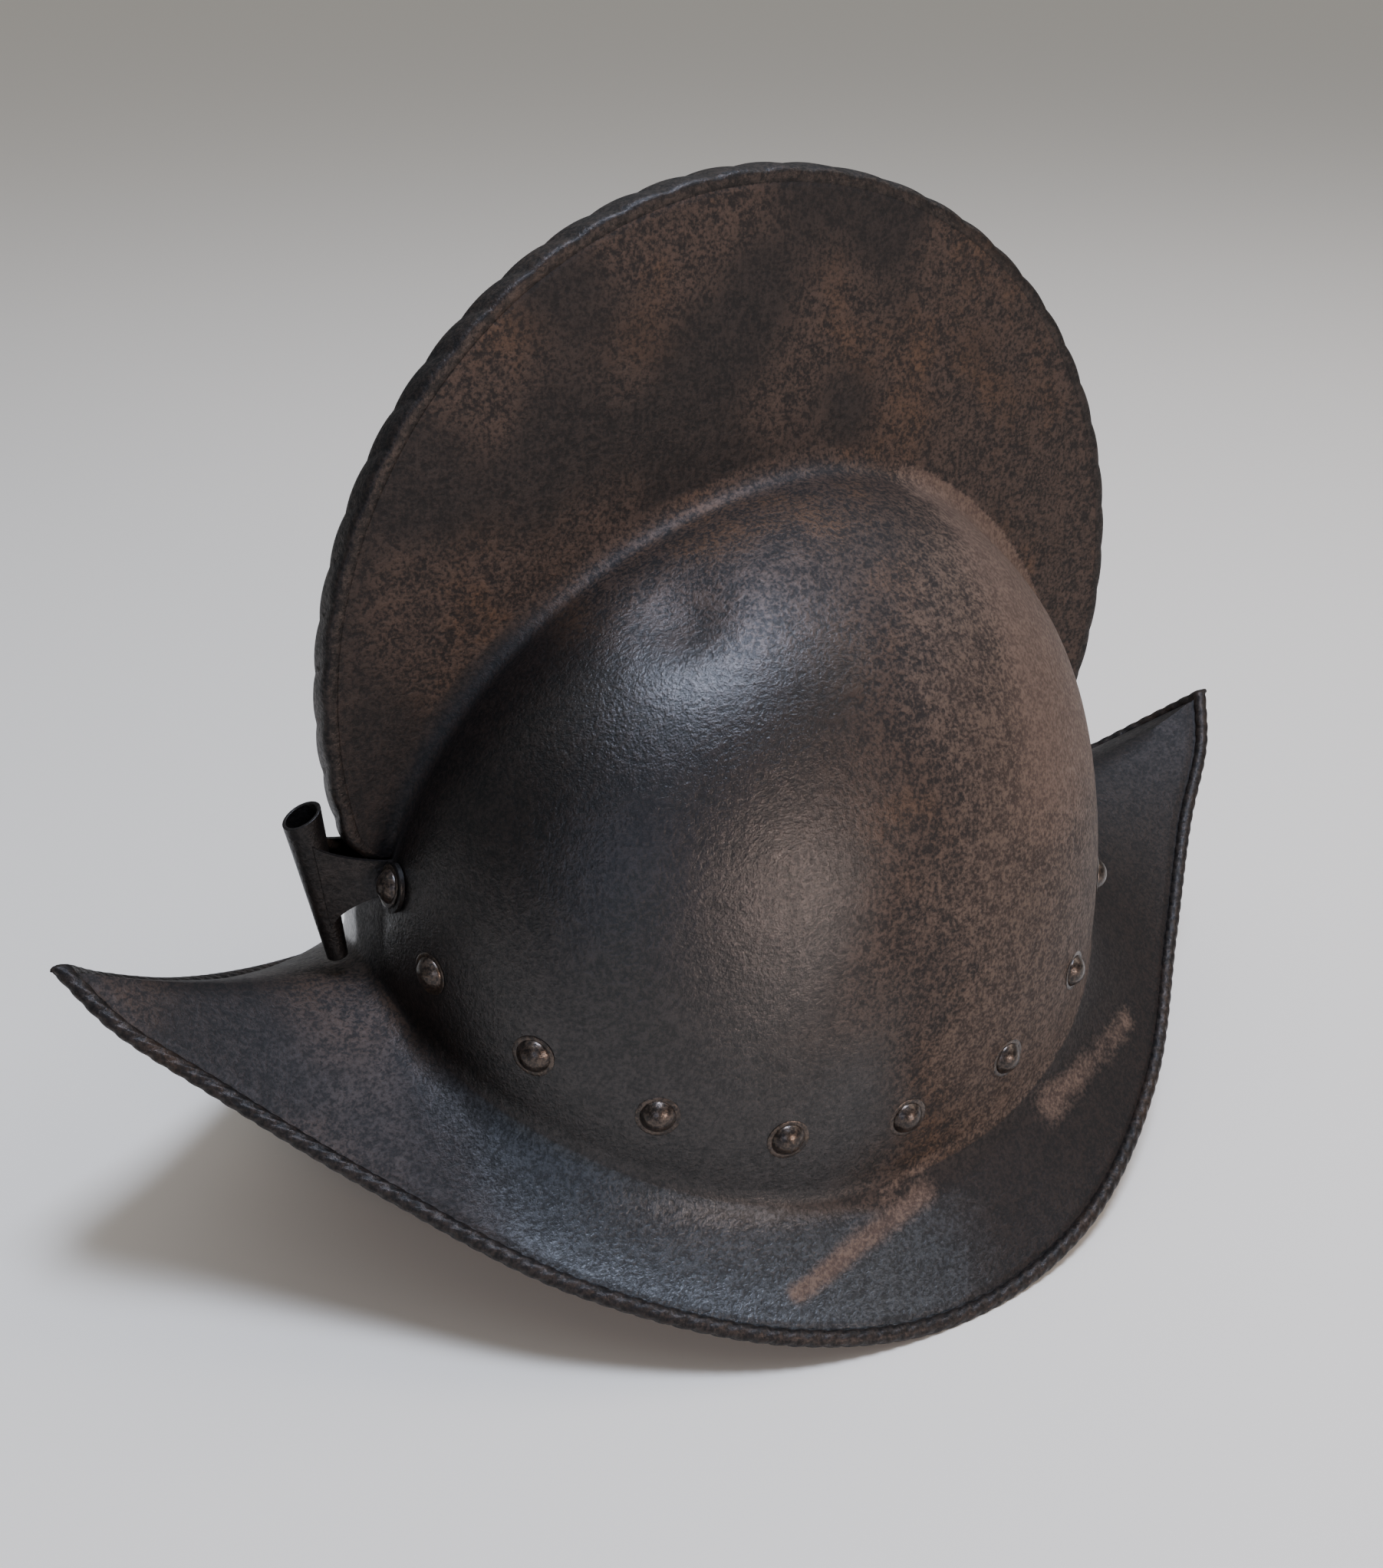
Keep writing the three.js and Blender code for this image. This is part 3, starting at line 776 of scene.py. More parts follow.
@dataclass(frozen=True)
class BrownedIron:
    """Raised wrought iron plate, browned with age and waxed.

    The eye sees a dark, uneven brown like old leather: a fine pitted grain of about a millimetre,
    clouds of rust brown, nearly black waxed areas with a satin gloss, a blue-grey painted
    reflection of a cool window on the brim and dry, pale tan where the patina was rubbed off. The
    tones of fresh rust also paint a highlight on the skull's upper front.

    Attributes:
        name: Name of the material.
        brown: Tones of the ground.
        rust: Tones of the clouds on it.
        black: Tones of the waxed areas.
        blue: Tones of the painted blue-grey reflection of a cool window.
        tan: Tones of the rubbed areas.
        streak: Tones of fresh rust, also used for the painted highlight on the skull's upper
            front.
        grain: Size of the pits in millimetres.
        mottle: Size of the speckle in millimetres.
        cloud: Size of the rust clouds in millimetres.
        roughness: Roughness where it is neither pitted nor rubbed.
        metallic: Share of bare metal under the wax.
        wax: Weight of the coat of wax.
        relief: Depth of the pits, 1 for the plate.
        uneven: How much gloss and wax differ between pits and grain, 1 for the plate.
    """

    name: str = "browned_wrought_iron_waxed"
    brown: Tones = Tones("#130f0d", "#3a2d25")
    rust: Tones = Tones("#1d1611", "#473324")
    black: Tones = Tones("#0c0a09", "#1f1815")
    blue: Tones = Tones("#131517", "#2d3033")
    tan: Tones = Tones("#251c17", "#4b3d33")
    streak: Tones = Tones("#40322a", "#57473c")
    grain: float = 1.0
    mottle: float = 3.6
    cloud: float = 38.0
    roughness: float = 0.35
    metallic: float = 0.5
    wax: float = 0.8
    relief: float = 1.0
    uneven: float = 1.0

    def build(self) -> Material:
        """Make the material.

        Returns:
            Material that reads the piece's attributes "stain" and "dull", and the one for the
            painted blue reflection, if any.
        """
        material = bpy.data.materials.new(self.name)
        material.use_nodes = True
        tree = material.node_tree
        tree.nodes.clear()
        level = self._levels(tree)
        masks = self._masks(tree, level)
        bump = self._relief(tree, level)
        shader = add_node(
            tree,
            "ShaderNodeBsdfPrincipled",
            {
                "Base Color": self._colour(tree, level["speck"], masks),
                "Normal": bump,
                "Specular IOR Level": 0.28,
                "Coat Roughness": 0.25,
                "Coat Normal": bump,
                **self._sheen(tree, level["speckle"], masks),
            },
        )
        add_node(tree, "ShaderNodeOutputMaterial", {"Surface": shader.outputs["BSDF"]})
        return material

    def _levels(self, tree: NodeTree) -> dict[str, NodeSocket]:
        """Add the noises that everything else is cut from.

        Args:
            tree: Node tree of the material.

        Returns:
            Noises, mixes of them and sharpened ones by name.
        """
        place = add_node(tree, "ShaderNodeTexCoord").outputs["Object"]
        level = {}
        for key, size, detail, coarse in (
            ("grain", self.grain, 4.0, 0.65),
            ("mottle", self.mottle, 6.0, 0.68),
            ("cloud", self.cloud, 6.0, 0.62),
            ("patch", self.cloud / 4, 8.0, 0.7),
        ):
            inputs = {"Vector": place, "Scale": 1 / (size * METRES)}
            inputs |= {"Detail": detail, "Roughness": coarse}
            level[key] = add_node(tree, "ShaderNodeTexNoise", inputs).outputs["Fac"]
        # A mix node takes its share at 0, numbers at 2 and 3, and colours at 6 and 7
        for key, first, second, share in (
            ("speckle", "grain", "mottle", 0.36),
            ("ragged", "patch", "speckle", 0.6),
        ):
            inputs = {0: share, 2: level[first], 3: level[second]}
            level[key] = add_node(tree, "ShaderNodeMix", inputs).outputs[0]
        for key, source, low, high in (
            ("speck", "speckle", 0.42, 0.6),
            ("rusty", "cloud", 0.5, 0.66),
        ):
            inputs = {"Value": level[source], "From Min": low, "From Max": high}
            level[key] = add_node(
                tree, "ShaderNodeMapRange", inputs, interpolation_type="SMOOTHSTEP"
            ).outputs["Result"]
        return level

    @staticmethod
    def _masks(tree: NodeTree, level: dict[str, NodeSocket]) -> dict[str, NodeSocket]:
        """Cut each patina's soft share, and that of the painted blue reflection, to a ragged
        border.

        Args:
            tree: Node tree of the material.
            level: Noises by name.

        Returns:
            Mask of each patina, and of the painted blue reflection, over the ground, in the order
            in which they lie over each other.
        """
        stain = add_node(tree, "ShaderNodeAttribute", attribute_name="stain").outputs["Color"]
        parts = add_node(tree, "ShaderNodeSeparateColor", {"Color": stain}).outputs
        # The painted blue-grey reflection of a cool window on the brim
        painted_blue_reflection = add_node(tree, "ShaderNodeAttribute", attribute_name="painted_blue_reflection").outputs["Fac"]
        masks = {"rust": level["rusty"]}
        for key, share, ragged in (
            ("black", parts["Blue"], 1.5),
            ("blue", painted_blue_reflection, 1.0),
            ("tan", parts["Red"], 1.7),
            ("streak", parts["Green"], 1.2),
        ):
            inputs = {0: level["ragged"], 1: ragged, 2: share}
            broken = add_node(tree, "ShaderNodeMath", inputs, operation="MULTIPLY_ADD")
            inputs = {"Value": broken.outputs[0]}
            inputs |= {"From Min": 0.3 + ragged / 2, "From Max": 0.78 + ragged / 2}
            masks[key] = add_node(
                tree, "ShaderNodeMapRange", inputs, interpolation_type="SMOOTHSTEP"
            ).outputs["Result"]
        return masks

    def _colour(
        self, tree: NodeTree, speck: NodeSocket, masks: dict[str, NodeSocket]
    ) -> NodeSocket:
        """Lay the speckled patinas, with the painted reflection and the painted highlight, over
        the ground.

        Args:
            tree: Node tree of the material.
            speck: Share of grain between the pits.
            masks: Mask of each patina.

        Returns:
            Colour of the iron.
        """
        layers = []
        for key in ("brown", *masks):
            tones = getattr(self, key)
            inputs = {0: speck, 6: linear(tones.low), 7: linear(tones.high)}
            mix = add_node(tree, "ShaderNodeMix", inputs, data_type="RGBA")
            layers.append(mix.outputs[2])
        colour = layers[0]
        for mask, tone in zip(masks.values(), layers[1:]):
            inputs = {0: mask, 6: colour, 7: tone}
            colour = add_node(tree, "ShaderNodeMix", inputs, data_type="RGBA").outputs[2]
        return colour

    def _sheen(
        self, tree: NodeTree, speckle: NodeSocket, masks: dict[str, NodeSocket]
    ) -> dict[str, NodeSocket]:
        """Make the iron glossy where it is waxed, and dull where it is dry or pitted.

        Args:
            tree: Node tree of the material.
            speckle: Noise of pits and grain.
            masks: Mask of each patina.

        Returns:
            Sockets for the shader's inputs.
        """
        dry = add_node(tree, "ShaderNodeAttribute", attribute_name="dull").outputs["Fac"]
        for key in ("tan", "streak"):
            inputs = {0: masks[key], 1: dry}
            dry = add_node(tree, "ShaderNodeMath", inputs, operation="MAXIMUM").outputs[0]
        pits = 0.13 * self.uneven
        part = {}
        for key, source, low, high, at_low, at_high in (
            ("gloss", speckle, 0.37, 0.62, self.roughness + pits, self.roughness - 0.06),
            ("waxed", speckle, 0.37, 0.62, 1 - 0.5 * self.uneven, 1.0),
            ("dry", dry, 0.0, 1.0, 0.0, 0.22),
            ("metal", dry, 0.0, 1.0, self.metallic, 0.2),
            ("wax", dry, 0.0, 0.8, self.wax, 0.0),
        ):
            inputs = {"Value": source, "From Min": low, "From Max": high}
            inputs |= {"To Min": at_low, "To Max": at_high}
            part[key] = add_node(tree, "ShaderNodeMapRange", inputs).outputs["Result"]
        for key, first, second, operation in (
            ("rough", "gloss", "dry", "ADD"),
            ("coat", "wax", "waxed", "MULTIPLY"),
        ):
            inputs = {0: part[first], 1: part[second]}
            part[key] = add_node(tree, "ShaderNodeMath", inputs, operation=operation).outputs[0]
        return {
            "Metallic": part["metal"],
            "Roughness": part["rough"],
            "Coat Weight": part["coat"],
        }

    def _relief(self, tree: NodeTree, level: dict[str, NodeSocket]) -> NodeSocket:
        """Add the relief of pits and speckle.

        Args:
            tree: Node tree of the material.
            level: Noises by name.

        Returns:
            Normal of the iron.
        """
        inputs = {}
        for key, strength, depth in (("grain", 0.8, 0.26), ("mottle", 0.45, 0.5)):
            inputs |= {"Strength": strength, "Distance": depth * METRES * self.relief}
            inputs |= {"Height": level[key]}
            inputs["Normal"] = add_node(tree, "ShaderNodeBump", inputs).outputs["Normal"]
        return inputs["Normal"]


PLATE_FINISH = BrownedIron()

# Filed rope: nearly black and dull, since its cuts hold dirt and no wax
ROPE_FINISH = BrownedIron(
    name="browned_iron_filed_rope",
    brown=Tones("#12100f", "#2b2420"),
    rust=Tones("#1c1612", "#33271f"),
    roughness=0.46,
    metallic=0.5,
    wax=0.1,
)

# Rivet iron: rubbed to a soft shine on the domes, with a little brown rust left
RIVET_FINISH = BrownedIron(
    name="rivet_iron_rubbed",
    brown=Tones("#1f1a17", "#4a3e35"),
    rust=Tones("#33281d", "#5c4932"),
    grain=0.8,
    mottle=2.5,
    cloud=30.0,
    roughness=0.33,
    metallic=0.7,
    wax=0.4,
    relief=0.35,
    uneven=0.35,
)

# Sheet iron of the plume holder: blackened, even and darker than the plate round it
HOLDER_FINISH = BrownedIron(
    name="plume_tube_blackened_sheet",
    brown=Tones("#0f0d0c", "#1f1b19"),
    rust=Tones("#171311", "#28211d"),
    roughness=0.42,
    wax=0.25,
)


# Pieces


@dataclass
class Piece:
    """Mesh in millimetres that becomes an object of the scene.

    Attributes:
        name: Name of the object.
        slot: Material slot of the record; not used.
        nodes: Solids that the object stands for.
        sharp: Angle in degrees past which an edge isn't shaded smooth.
    """

    name: str
    slot: str
    nodes: tuple[str, ...] = ()
    sharp: float = 40.0

    def finish(self, bm: BMesh, material: Material) -> Object:
        """Bring a mesh to metres, dress it and put it in the scene.

        Args:
            bm: Mesh in millimetres, which is freed.
            material: Material of all its faces.

        Returns:
            The object.
        """
        bmesh.ops.scale(bm, vec=(METRES,) * 3, verts=bm.verts)
        mesh = bpy.data.meshes.new(self.name)
        bm.to_mesh(mesh)
        bm.free()
        mesh.materials.append(material)
        mesh.shade_smooth()
        mesh.set_sharp_from_angle(angle=math.radians(self.sharp))
        piece = put(self.name, mesh)
        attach(piece, "root")
        if self.nodes:
            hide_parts(*self.nodes)
        return piece


def grid_places(bm: BMesh, across: int, along: int) -> list[tuple[BMVert, int, int]]:
    """Make a grid and tell where each of its vertices belongs.

    Args:
        bm: Mesh that takes the grid.
        across: Parts in the first direction.
        along: Parts in the second direction.

    Returns:
        Each vertex with its step in both directions.
    """
    made = bmesh.ops.create_grid(bm, x_segments=across, y_segments=along, size=1.0)
    return [
        (v, round((v.co.x + 1) / 2 * across), round((v.co.y + 1) / 2 * along))
        for v in made["verts"]
    ]


def mirror_left(bm: BMesh, merge: float = 0.002) -> None:
    """Mirror the right half over to the left and join the halves.

    Args:
        bm: Mesh of the right half.
        merge: Distance at which vertices are joined.
    """
    geom = bm.verts[:] + bm.edges[:] + bm.faces[:]
    bmesh.ops.mirror(bm, geom=geom, matrix=Matrix.Identity(4), merge_dist=merge, axis="Y")
    bmesh.ops.remove_doubles(bm, verts=bm.verts, dist=merge)
    bmesh.ops.dissolve_degenerate(bm, dist=merge / 2, edges=bm.edges)
    bmesh.ops.recalc_face_normals(bm, faces=bm.faces)


def turned(outline: list[tuple[float, float]], closed: bool, facets: int) -> BMesh:
    """Turn an outline round the Z axis.

    Args:
        outline: Radii and heights.
        closed: Whether its end is joined to its start.
        facets: Parts round the axis.

    Returns:
        The turned form.
    """
    bm = bmesh.new()
    points = [bm.verts.new((radius, 0.0, rise)) for radius, rise in outline]
    following = points[1:] + (points[:1] if closed else [])
    edges = [bm.edges.new(pair) for pair in zip(points, following)]
    bmesh.ops.spin(
        bm,
        geom=points + edges,
        cent=(0, 0, 0),
        axis=(0, 0, 1),
        angle=math.tau,
        steps=facets,
        use_merge=True,
    )
    return bm


def stand(bm: BMesh, foot: Vector, way: Vector) -> None:
    """Move a form that stands on the origin to its place.

    Args:
        bm: Mesh of the form.
        foot: Point that it stands on.
        way: Direction that its Z axis is turned to.
    """
    turn = Vector((0, 0, 1)).rotation_difference(way).to_matrix()
    bmesh.ops.rotate(bm, verts=bm.verts, cent=(0, 0, 0), matrix=turn)
    bmesh.ops.translate(bm, verts=bm.verts, vec=foot)


@dataclass
class Shell:
    """Skull, comb and brim: one raised plate, finely meshed.

    Attributes:
        form: Surface of the plate.
        material: Material of the plate.
        patina: Where its patinas lie.
        columns: Parts from the rear to the front.
        comb_rows: Parts up the comb's side.
        fillet_rows: Parts round each of the two fillets.
        skull_rows: Parts up the skull.
        brim_rows: Parts across the brim.
        end_steps: Shares at which the first and last column of the form are cut.
        fillet_shares: Most that a fillet takes of the comb's side, the skull's top, the skull's
            foot and the brim.
        hammered: Height of the unevenness that the hammer left.
        blows: Sizes of its broad and small waves.
        small_blow: Height of the small waves, as a share of that of the broad ones.
        stiff: Share of the unevenness on comb and brim.
        ridge: Distance from the middle over which the unevenness comes in.
        dented_from: Distance from the middle past which a dent moves the plate.
    """

    form: HelmetForm
    material: Material
    patina: Patina = field(default_factory=Patina)
    columns: int = 210
    comb_rows: int = 17
    fillet_rows: int = 6
    skull_rows: int = 40
    brim_rows: int = 26
    end_steps: tuple[float, ...] = (0.0, 0.45, 0.8, 1.0)
    fillet_shares: tuple[float, float, float, float] = (0.3, 0.14, 0.15, 0.3)
    hammered: float = 0.22
    blows: tuple[float, float] = (42.0, 17.0)
    small_blow: float = 0.5
    stiff: float = 0.45
    ridge: float = 8.0
    dented_from: float = 6.0
    skin: BVHTree = field(init=False)

    def stations(self) -> list[float]:
        """Spread the columns of the mesh.

        Returns:
            Places from the rear to the front.
        """
        end = 1 / self.form.columns
        start = [end * step for step in self.end_steps]
        middle = [lerp(end, 1 - end, i / self.columns) for i in range(1, self.columns)]
        return start + middle + [1 - s for s in reversed(start)]

    def section(self, s: float) -> list[tuple[Vector, Region]]:
        """Section of the right half from the comb's edge down to the brim's edge.

        Args:
            s: Place from the rear to the front.

        Returns:
            Points with the region that each belongs to.
        """
        form = self.form
        comb_most, top_most, foot_most, brim_most = self.fillet_shares
        foot, top = form.crease(s), form.root(s)
        half = form.comb_opening(s) * form.comb_thickness / 2
        side = form.comb_outline(form.comb_share(s), -half, 0.0)
        comb_foot = min(form.root_fillet / (top - side).length, comb_most)
        wall = (foot - top).length
        skull_top = 1 - min(form.root_fillet / wall, top_most)
        skull_foot = min(form.crease_fillet_up / wall, foot_most)
        reach = (foot - form.edge.at(s)).length
        brim_top = 1 - min(form.crease_fillet / reach, brim_most)
        _, up, stretch = form.bead_frame(s)
        end = form.bead_radius * stretch / reach
        groove = (2 * form.bead_radius + form.groove_depth) * stretch / reach

        rows = [
            (top.lerp(side, lerp(1, comb_foot, i / self.comb_rows)), Region.COMB)
            for i in range(self.comb_rows + 1)
        ]
        high, low_comb = form.skull(s, skull_top), rows[-1][0]
        for i in range(1, self.fillet_rows):
            share = i / self.fillet_rows
            rows.append((rounded(low_comb, top, high, share), Region.SKULL))
        for i in range(self.skull_rows + 1):
            height = lerp(skull_top, skull_foot, i / self.skull_rows)
            rows.append((form.skull(s, height), Region.SKULL))
        low, brim_high = rows[-1][0], form.brim(s, brim_top)
        for i in range(1, self.fillet_rows):
            share = i / self.fillet_rows
            part = Region.SKULL if share < 0.5 else Region.BRIM
            rows.append((rounded(low, foot, brim_high, share), part))
        for i in range(self.brim_rows + 1):
            share = lerp(brim_top, groove * 1.25, i / self.brim_rows)
            rows.append((form.brim(s, share), Region.BRIM))
        # The groove runs along the bead, with a flat bottom under it
        for share in (groove, groove * 0.93, end):
            rows.append((form.brim(s, share) - up * form.groove_depth, Region.BRIM))
        return rows

    def mesh(self) -> BMesh:
        """Make the outer face of the whole plate, dented, stained and with its painted light.

        Returns:
            Mesh in millimetres.
        """
        sections = [self.section(s) for s in self.stations()]
        bm = bmesh.new()
        part = bm.verts.layers.int.new("part")
        rows = len(sections[0]) - 1
        for vert, column, row in grid_places(bm, len(sections) - 1, rows):
            vert.co, region = sections[column][row]
            vert[part] = region.value
        mirror_left(bm)
        if self._faces_inwards(bm):
            bmesh.ops.reverse_faces(bm, faces=bm.faces)
        bm.normal_update()
        self._strike(bm, part)
        self._stain(bm, part)
        return bm

    @staticmethod
    def _faces_inwards(bm: BMesh) -> bool:
        """Tell which way the faces of the skull point.

        Args:
            bm: Mesh of the plate.

        Returns:
            Whether they point to the inside.
        """
        heart = Vector((0.0, 0.0, 90.0))
        sides = [f for f in bm.faces if 80 < f.calc_center_median().z < 140]
        outward = sum(f.normal.dot(f.calc_center_median() - heart) * f.calc_area() for f in sides)
        return outward < 0

    def _strike(self, bm: BMesh, part: BMLayerItem) -> None:
        """Give the plate its dents and the soft unevenness of the hammer.

        Args:
            bm: Mesh of the plate.
            part: Layer with the region of each vertex.
        """
        broad, small = self.blows
        seed = Vector((7, 3, 5))
        moves = {}
        for vert in bm.verts:
            place = vert.co
            wave = noise.noise(place / broad) + self.small_blow * noise.noise(place / small + seed)
            free = 1.0 if vert[part] == Region.SKULL.value else self.stiff
            edge = min(1.0, abs(place.y) / self.ridge)
            moves[vert] = vert.normal * wave * self.hammered * free * edge
        for vert, move in moves.items():
            if vert[part] == Region.SKULL.value and vert.co.y < -self.dented_from:
                vert.co = self.form.dented(vert.co)
            vert.co += move
        bm.normal_update()

    def _stain(self, bm: BMesh, part: BMLayerItem) -> None:
        """Write where each patina and the painted light lie, and where the wax is gone.

        Args:
            bm: Mesh of the plate.
            part: Layer with the region of each vertex.
        """
        stain = bm.verts.layers.float_color.new("stain")
        # Share of the painted blue reflection of a cool window on the brim
        painted_blue_reflection = bm.verts.layers.float.new("painted_blue_reflection")
        dull = bm.verts.layers.float.new("dull")
        for vert in bm.verts:
            region = Region(vert[part])
            found = self.patina.at(vert.co, region)
            vert[stain] = (found.tan, found.streak, found.black, 1.0)
            vert[painted_blue_reflection] = found.blue
            vert[dull] = 1 - self.patina.wax(found, vert.co, region)

    def build(self) -> list[Object]:
        """Build the plate and keep its outer face for what is riveted on.

        Returns:
            The plate.
        """
        bm = self.mesh()
        self.skin = BVHTree.FromBMesh(bm)
        piece = Piece("plate", "russet_iron", ("helmet_shell",), sharp=50.0)
        plate = piece.finish(bm, self.material)
        wall = plate.modifiers.new("thickness", "SOLIDIFY")
        wall.thickness = self.form.plate * METRES
        wall.offset = -1.0
        wall.use_even_offset = True
        return [plate]


@dataclass
class BrimRope:
    """Edge of the brim, rolled over and filed into a rope.

    Attributes:
        form: Surface of the plate.
        material: Material of the rope.
        pitch: Length of one strand along the edge.
        depth: Depth of the cuts between strands.
        sharpness: Exponent of a strand's section: the lower, the narrower the cuts.
        proud: How far the rope stands out over the solid's bead.
        starts: Strands that pass a section at once.
        per_strand: Parts of the mesh along each strand.
        around: Parts of the mesh round the section.
    """

    form: HelmetForm
    material: Material
    pitch: float = 4.8
    depth: float = 0.4
    sharpness: float = 0.7
    proud: float = 0.05
    starts: int = 3
    per_strand: int = 8
    around: int = 18

    def mesh(self) -> BMesh:
        """Make the rope.

        Returns:
            Mesh in millimetres.
        """
        form = self.form
        strands = round(form.edge.extent / self.pitch)
        steps = strands * self.per_strand
        frames = []
        for i in range(steps + 1):
            s = i / steps
            inwards, up, stretch = form.bead_frame(s)
            middle = form.edge.at(s) + inwards * form.bead_radius * stretch
            frames.append((middle - up * form.plate / 2, inwards * stretch, up))
        bm = bmesh.new()
        for vert, column, row in grid_places(bm, steps, self.around):
            middle, inwards, up = frames[column]
            angle = row / self.around * math.tau
            turn = column / self.per_strand + self.starts * row / self.around
            cut = self.depth * (1 - abs(math.sin(math.pi * turn)) ** self.sharpness)
            radius = form.bead_radius + self.proud - cut
            spot = middle + inwards * math.cos(angle) * radius + up * math.sin(angle) * radius
            spot.z = max(spot.z, 0.0)
            spot.y = min(spot.y, 0.0)
            vert.co = spot
        bmesh.ops.remove_doubles(bm, verts=bm.verts, dist=WELD)
        # At the tips some faces lie in the middle plane, where the halves meet
        flat = [f for f in bm.faces if all(abs(v.co.y) < WELD / 2 for v in f.verts)]
        bmesh.ops.delete(bm, geom=flat, context="FACES")
        mirror_left(bm, WELD)
        return bm

    def build(self) -> list[Object]:
        """Build the rope, which is part of the plate's solid."""
        return [Piece("brim_rope", "russet_iron", sharp=70.0).finish(self.mesh(), self.material)]


@dataclass
class CombRope:
    """Edge of the comb, filed into broad slanting strands.

    Attributes:
        form: Surface of the plate.
        material: Material of the edge.
        per_strand: Parts of the mesh along each strand.
        around: Parts of the mesh round the section.
        depth: Depth of the cuts between strands.
        sharpness: Exponent of a strand's section: the lower, the narrower the cuts.
        slant: How far a cut runs along the edge, as a share of a strand, from side to middle.
        pinch: Share of the thickness lost where a cut is a millimetre deep.
        down: How far the edge reaches down the comb's side.
        proud: How far it stands out from the comb's side.
        squareness: Exponent of its rounded section.
    """

    form: HelmetForm
    material: Material
    per_strand: int = 16
    around: int = 36
    depth: float = 0.75
    sharpness: float = 0.6
    slant: float = 0.25
    pinch: float = 0.05
    down: float = 3.4
    proud: float = 0.25
    squareness: float = 3.4

    def mesh(self) -> BMesh:
        """Make the edge.

        Returns:
            Mesh in millimetres.
        """
        form = self.form
        steps = form.strands * self.per_strand
        half = form.comb_thickness / 2 + self.proud
        middle = (form.comb_crown - self.down) / 2
        tall = (form.comb_crown + self.down) / 2
        power = 2 / self.squareness
        bm = bmesh.new()
        for vert, column, row in grid_places(bm, steps, self.around):
            angle = -row / self.around * math.tau
            across, up = powered(math.cos(angle), power), powered(math.sin(angle), power)
            turn = column / self.per_strand + across * self.slant
            top = clamp(up)
            cut = self.depth * (1 - abs(math.sin(math.pi * turn)) ** self.sharpness)
            y = across * half * (1 - self.pinch * top * cut)
            grow = middle + up * tall + top * (0.5 * self.depth - cut)
            vert.co = form.comb_outline(column / steps, y, grow)
        bmesh.ops.remove_doubles(bm, verts=bm.verts, dist=WELD)
        open_edges = [e for e in bm.edges if e.is_boundary]
        bmesh.ops.holes_fill(bm, edges=open_edges, sides=0)
        bmesh.ops.recalc_face_normals(bm, faces=bm.faces)
        return bm

    def build(self) -> list[Object]:
        """Build the edge, which is part of the plate's solid."""
        return [Piece("comb_rope", "russet_iron", sharp=70.0).finish(self.mesh(), self.material)]


@dataclass
class Rivets:
    """Lining rivets round the skull and the two rivets of the plume holder.

    Attributes:
        skin: Outer face of the plate, to seat the rivets on.
        material: Material of the rivets.
        nodes: Names of their solids.
        head: Diameter of a head.
        rise: Height of a head.
        shank: Diameter of a shank.
        tail: Diameter of the end riveted over inside.
        tail_rise: Height of that end.
        tail_curve: Rounding of that end, from its middle out, as shares of radius and height.
        burr: Width of the dished ring that the setting tool left round the head.
        burr_curve: Section of the ring, from its rim in, as shares of its width and heights.
        grip: Thickness of the plate.
        overlay: Thickness of the tab under a plume rivet.
        dome_steps: Parts from the rim of a head to its top.
        facets: Parts round a rivet.
    """

    skin: BVHTree
    material: Material
    nodes: list[str]
    head: float = 8.7
    rise: float = 2.8
    shank: float = 3.4
    tail: float = 5.6
    tail_rise: float = 1.2
    tail_curve: tuple[tuple[float, float], ...] = (
        (0.0, 1.0),
        (0.6, 0.93),
        (0.92, 0.5),
        (1.0, 0.0),
    )
    burr: float = 1.1
    burr_curve: tuple[tuple[float, float], ...] = ((1.0, 0.0), (0.7, 0.16), (0.0, 0.1))
    grip: float = 1.4
    overlay: float = 1.5
    dome_steps: int = 8
    facets: int = 40

    def outline(self, grip: float) -> list[tuple[float, float]]:
        """Half section from the tail to the top of the dome.

        Args:
            grip: Thickness that the rivet holds together.

        Returns:
            Radii and heights over the face that the head lies on.
        """
        head, tail, shank = self.head / 2, self.tail / 2, self.shank / 2
        points = [(tail * out, -grip - self.tail_rise * down) for out, down in self.tail_curve]
        points += [(shank, -grip), (shank, 0.0)]
        points += [(head + self.burr * out, up) for out, up in self.burr_curve]
        radius = (head * head + self.rise * self.rise) / (2 * self.rise)
        widest = math.asin(min(1.0, head / radius))
        for i in range(self.dome_steps + 1):
            angle = widest * (1 - i / self.dome_steps)
            rise = self.rise - radius * (1 - math.cos(angle))
            points.append((radius * math.sin(angle), max(rise, 0.2)))
        return points

    def mesh(self, node: str) -> BMesh:
        """Make a rivet, seated where its solid is.

        Args:
            node: Name of its solid.

        Returns:
            Mesh in millimetres.
        """
        low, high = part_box(node)
        middle = (low + high) / 2 / METRES
        seat, normal, _, _ = self.skin.find_nearest(middle)
        overlay = self.overlay if node.startswith("plume") else 0.0
        bm = turned(self.outline(self.grip + overlay), closed=False, facets=self.facets)
        bmesh.ops.remove_doubles(bm, verts=bm.verts, dist=0.001)
        bmesh.ops.recalc_face_normals(bm, faces=bm.faces)
        stand(bm, seat + normal * overlay, normal)
        return bm

    def build(self) -> list[Object]:
        """Build every rivet.

        Returns:
            The rivets.
        """
        made = []
        for node in self.nodes:
            piece = Piece(f"{node}_dome", "rivet_iron", (node,))
            made.append(piece.finish(self.mesh(node), self.material))
        return made


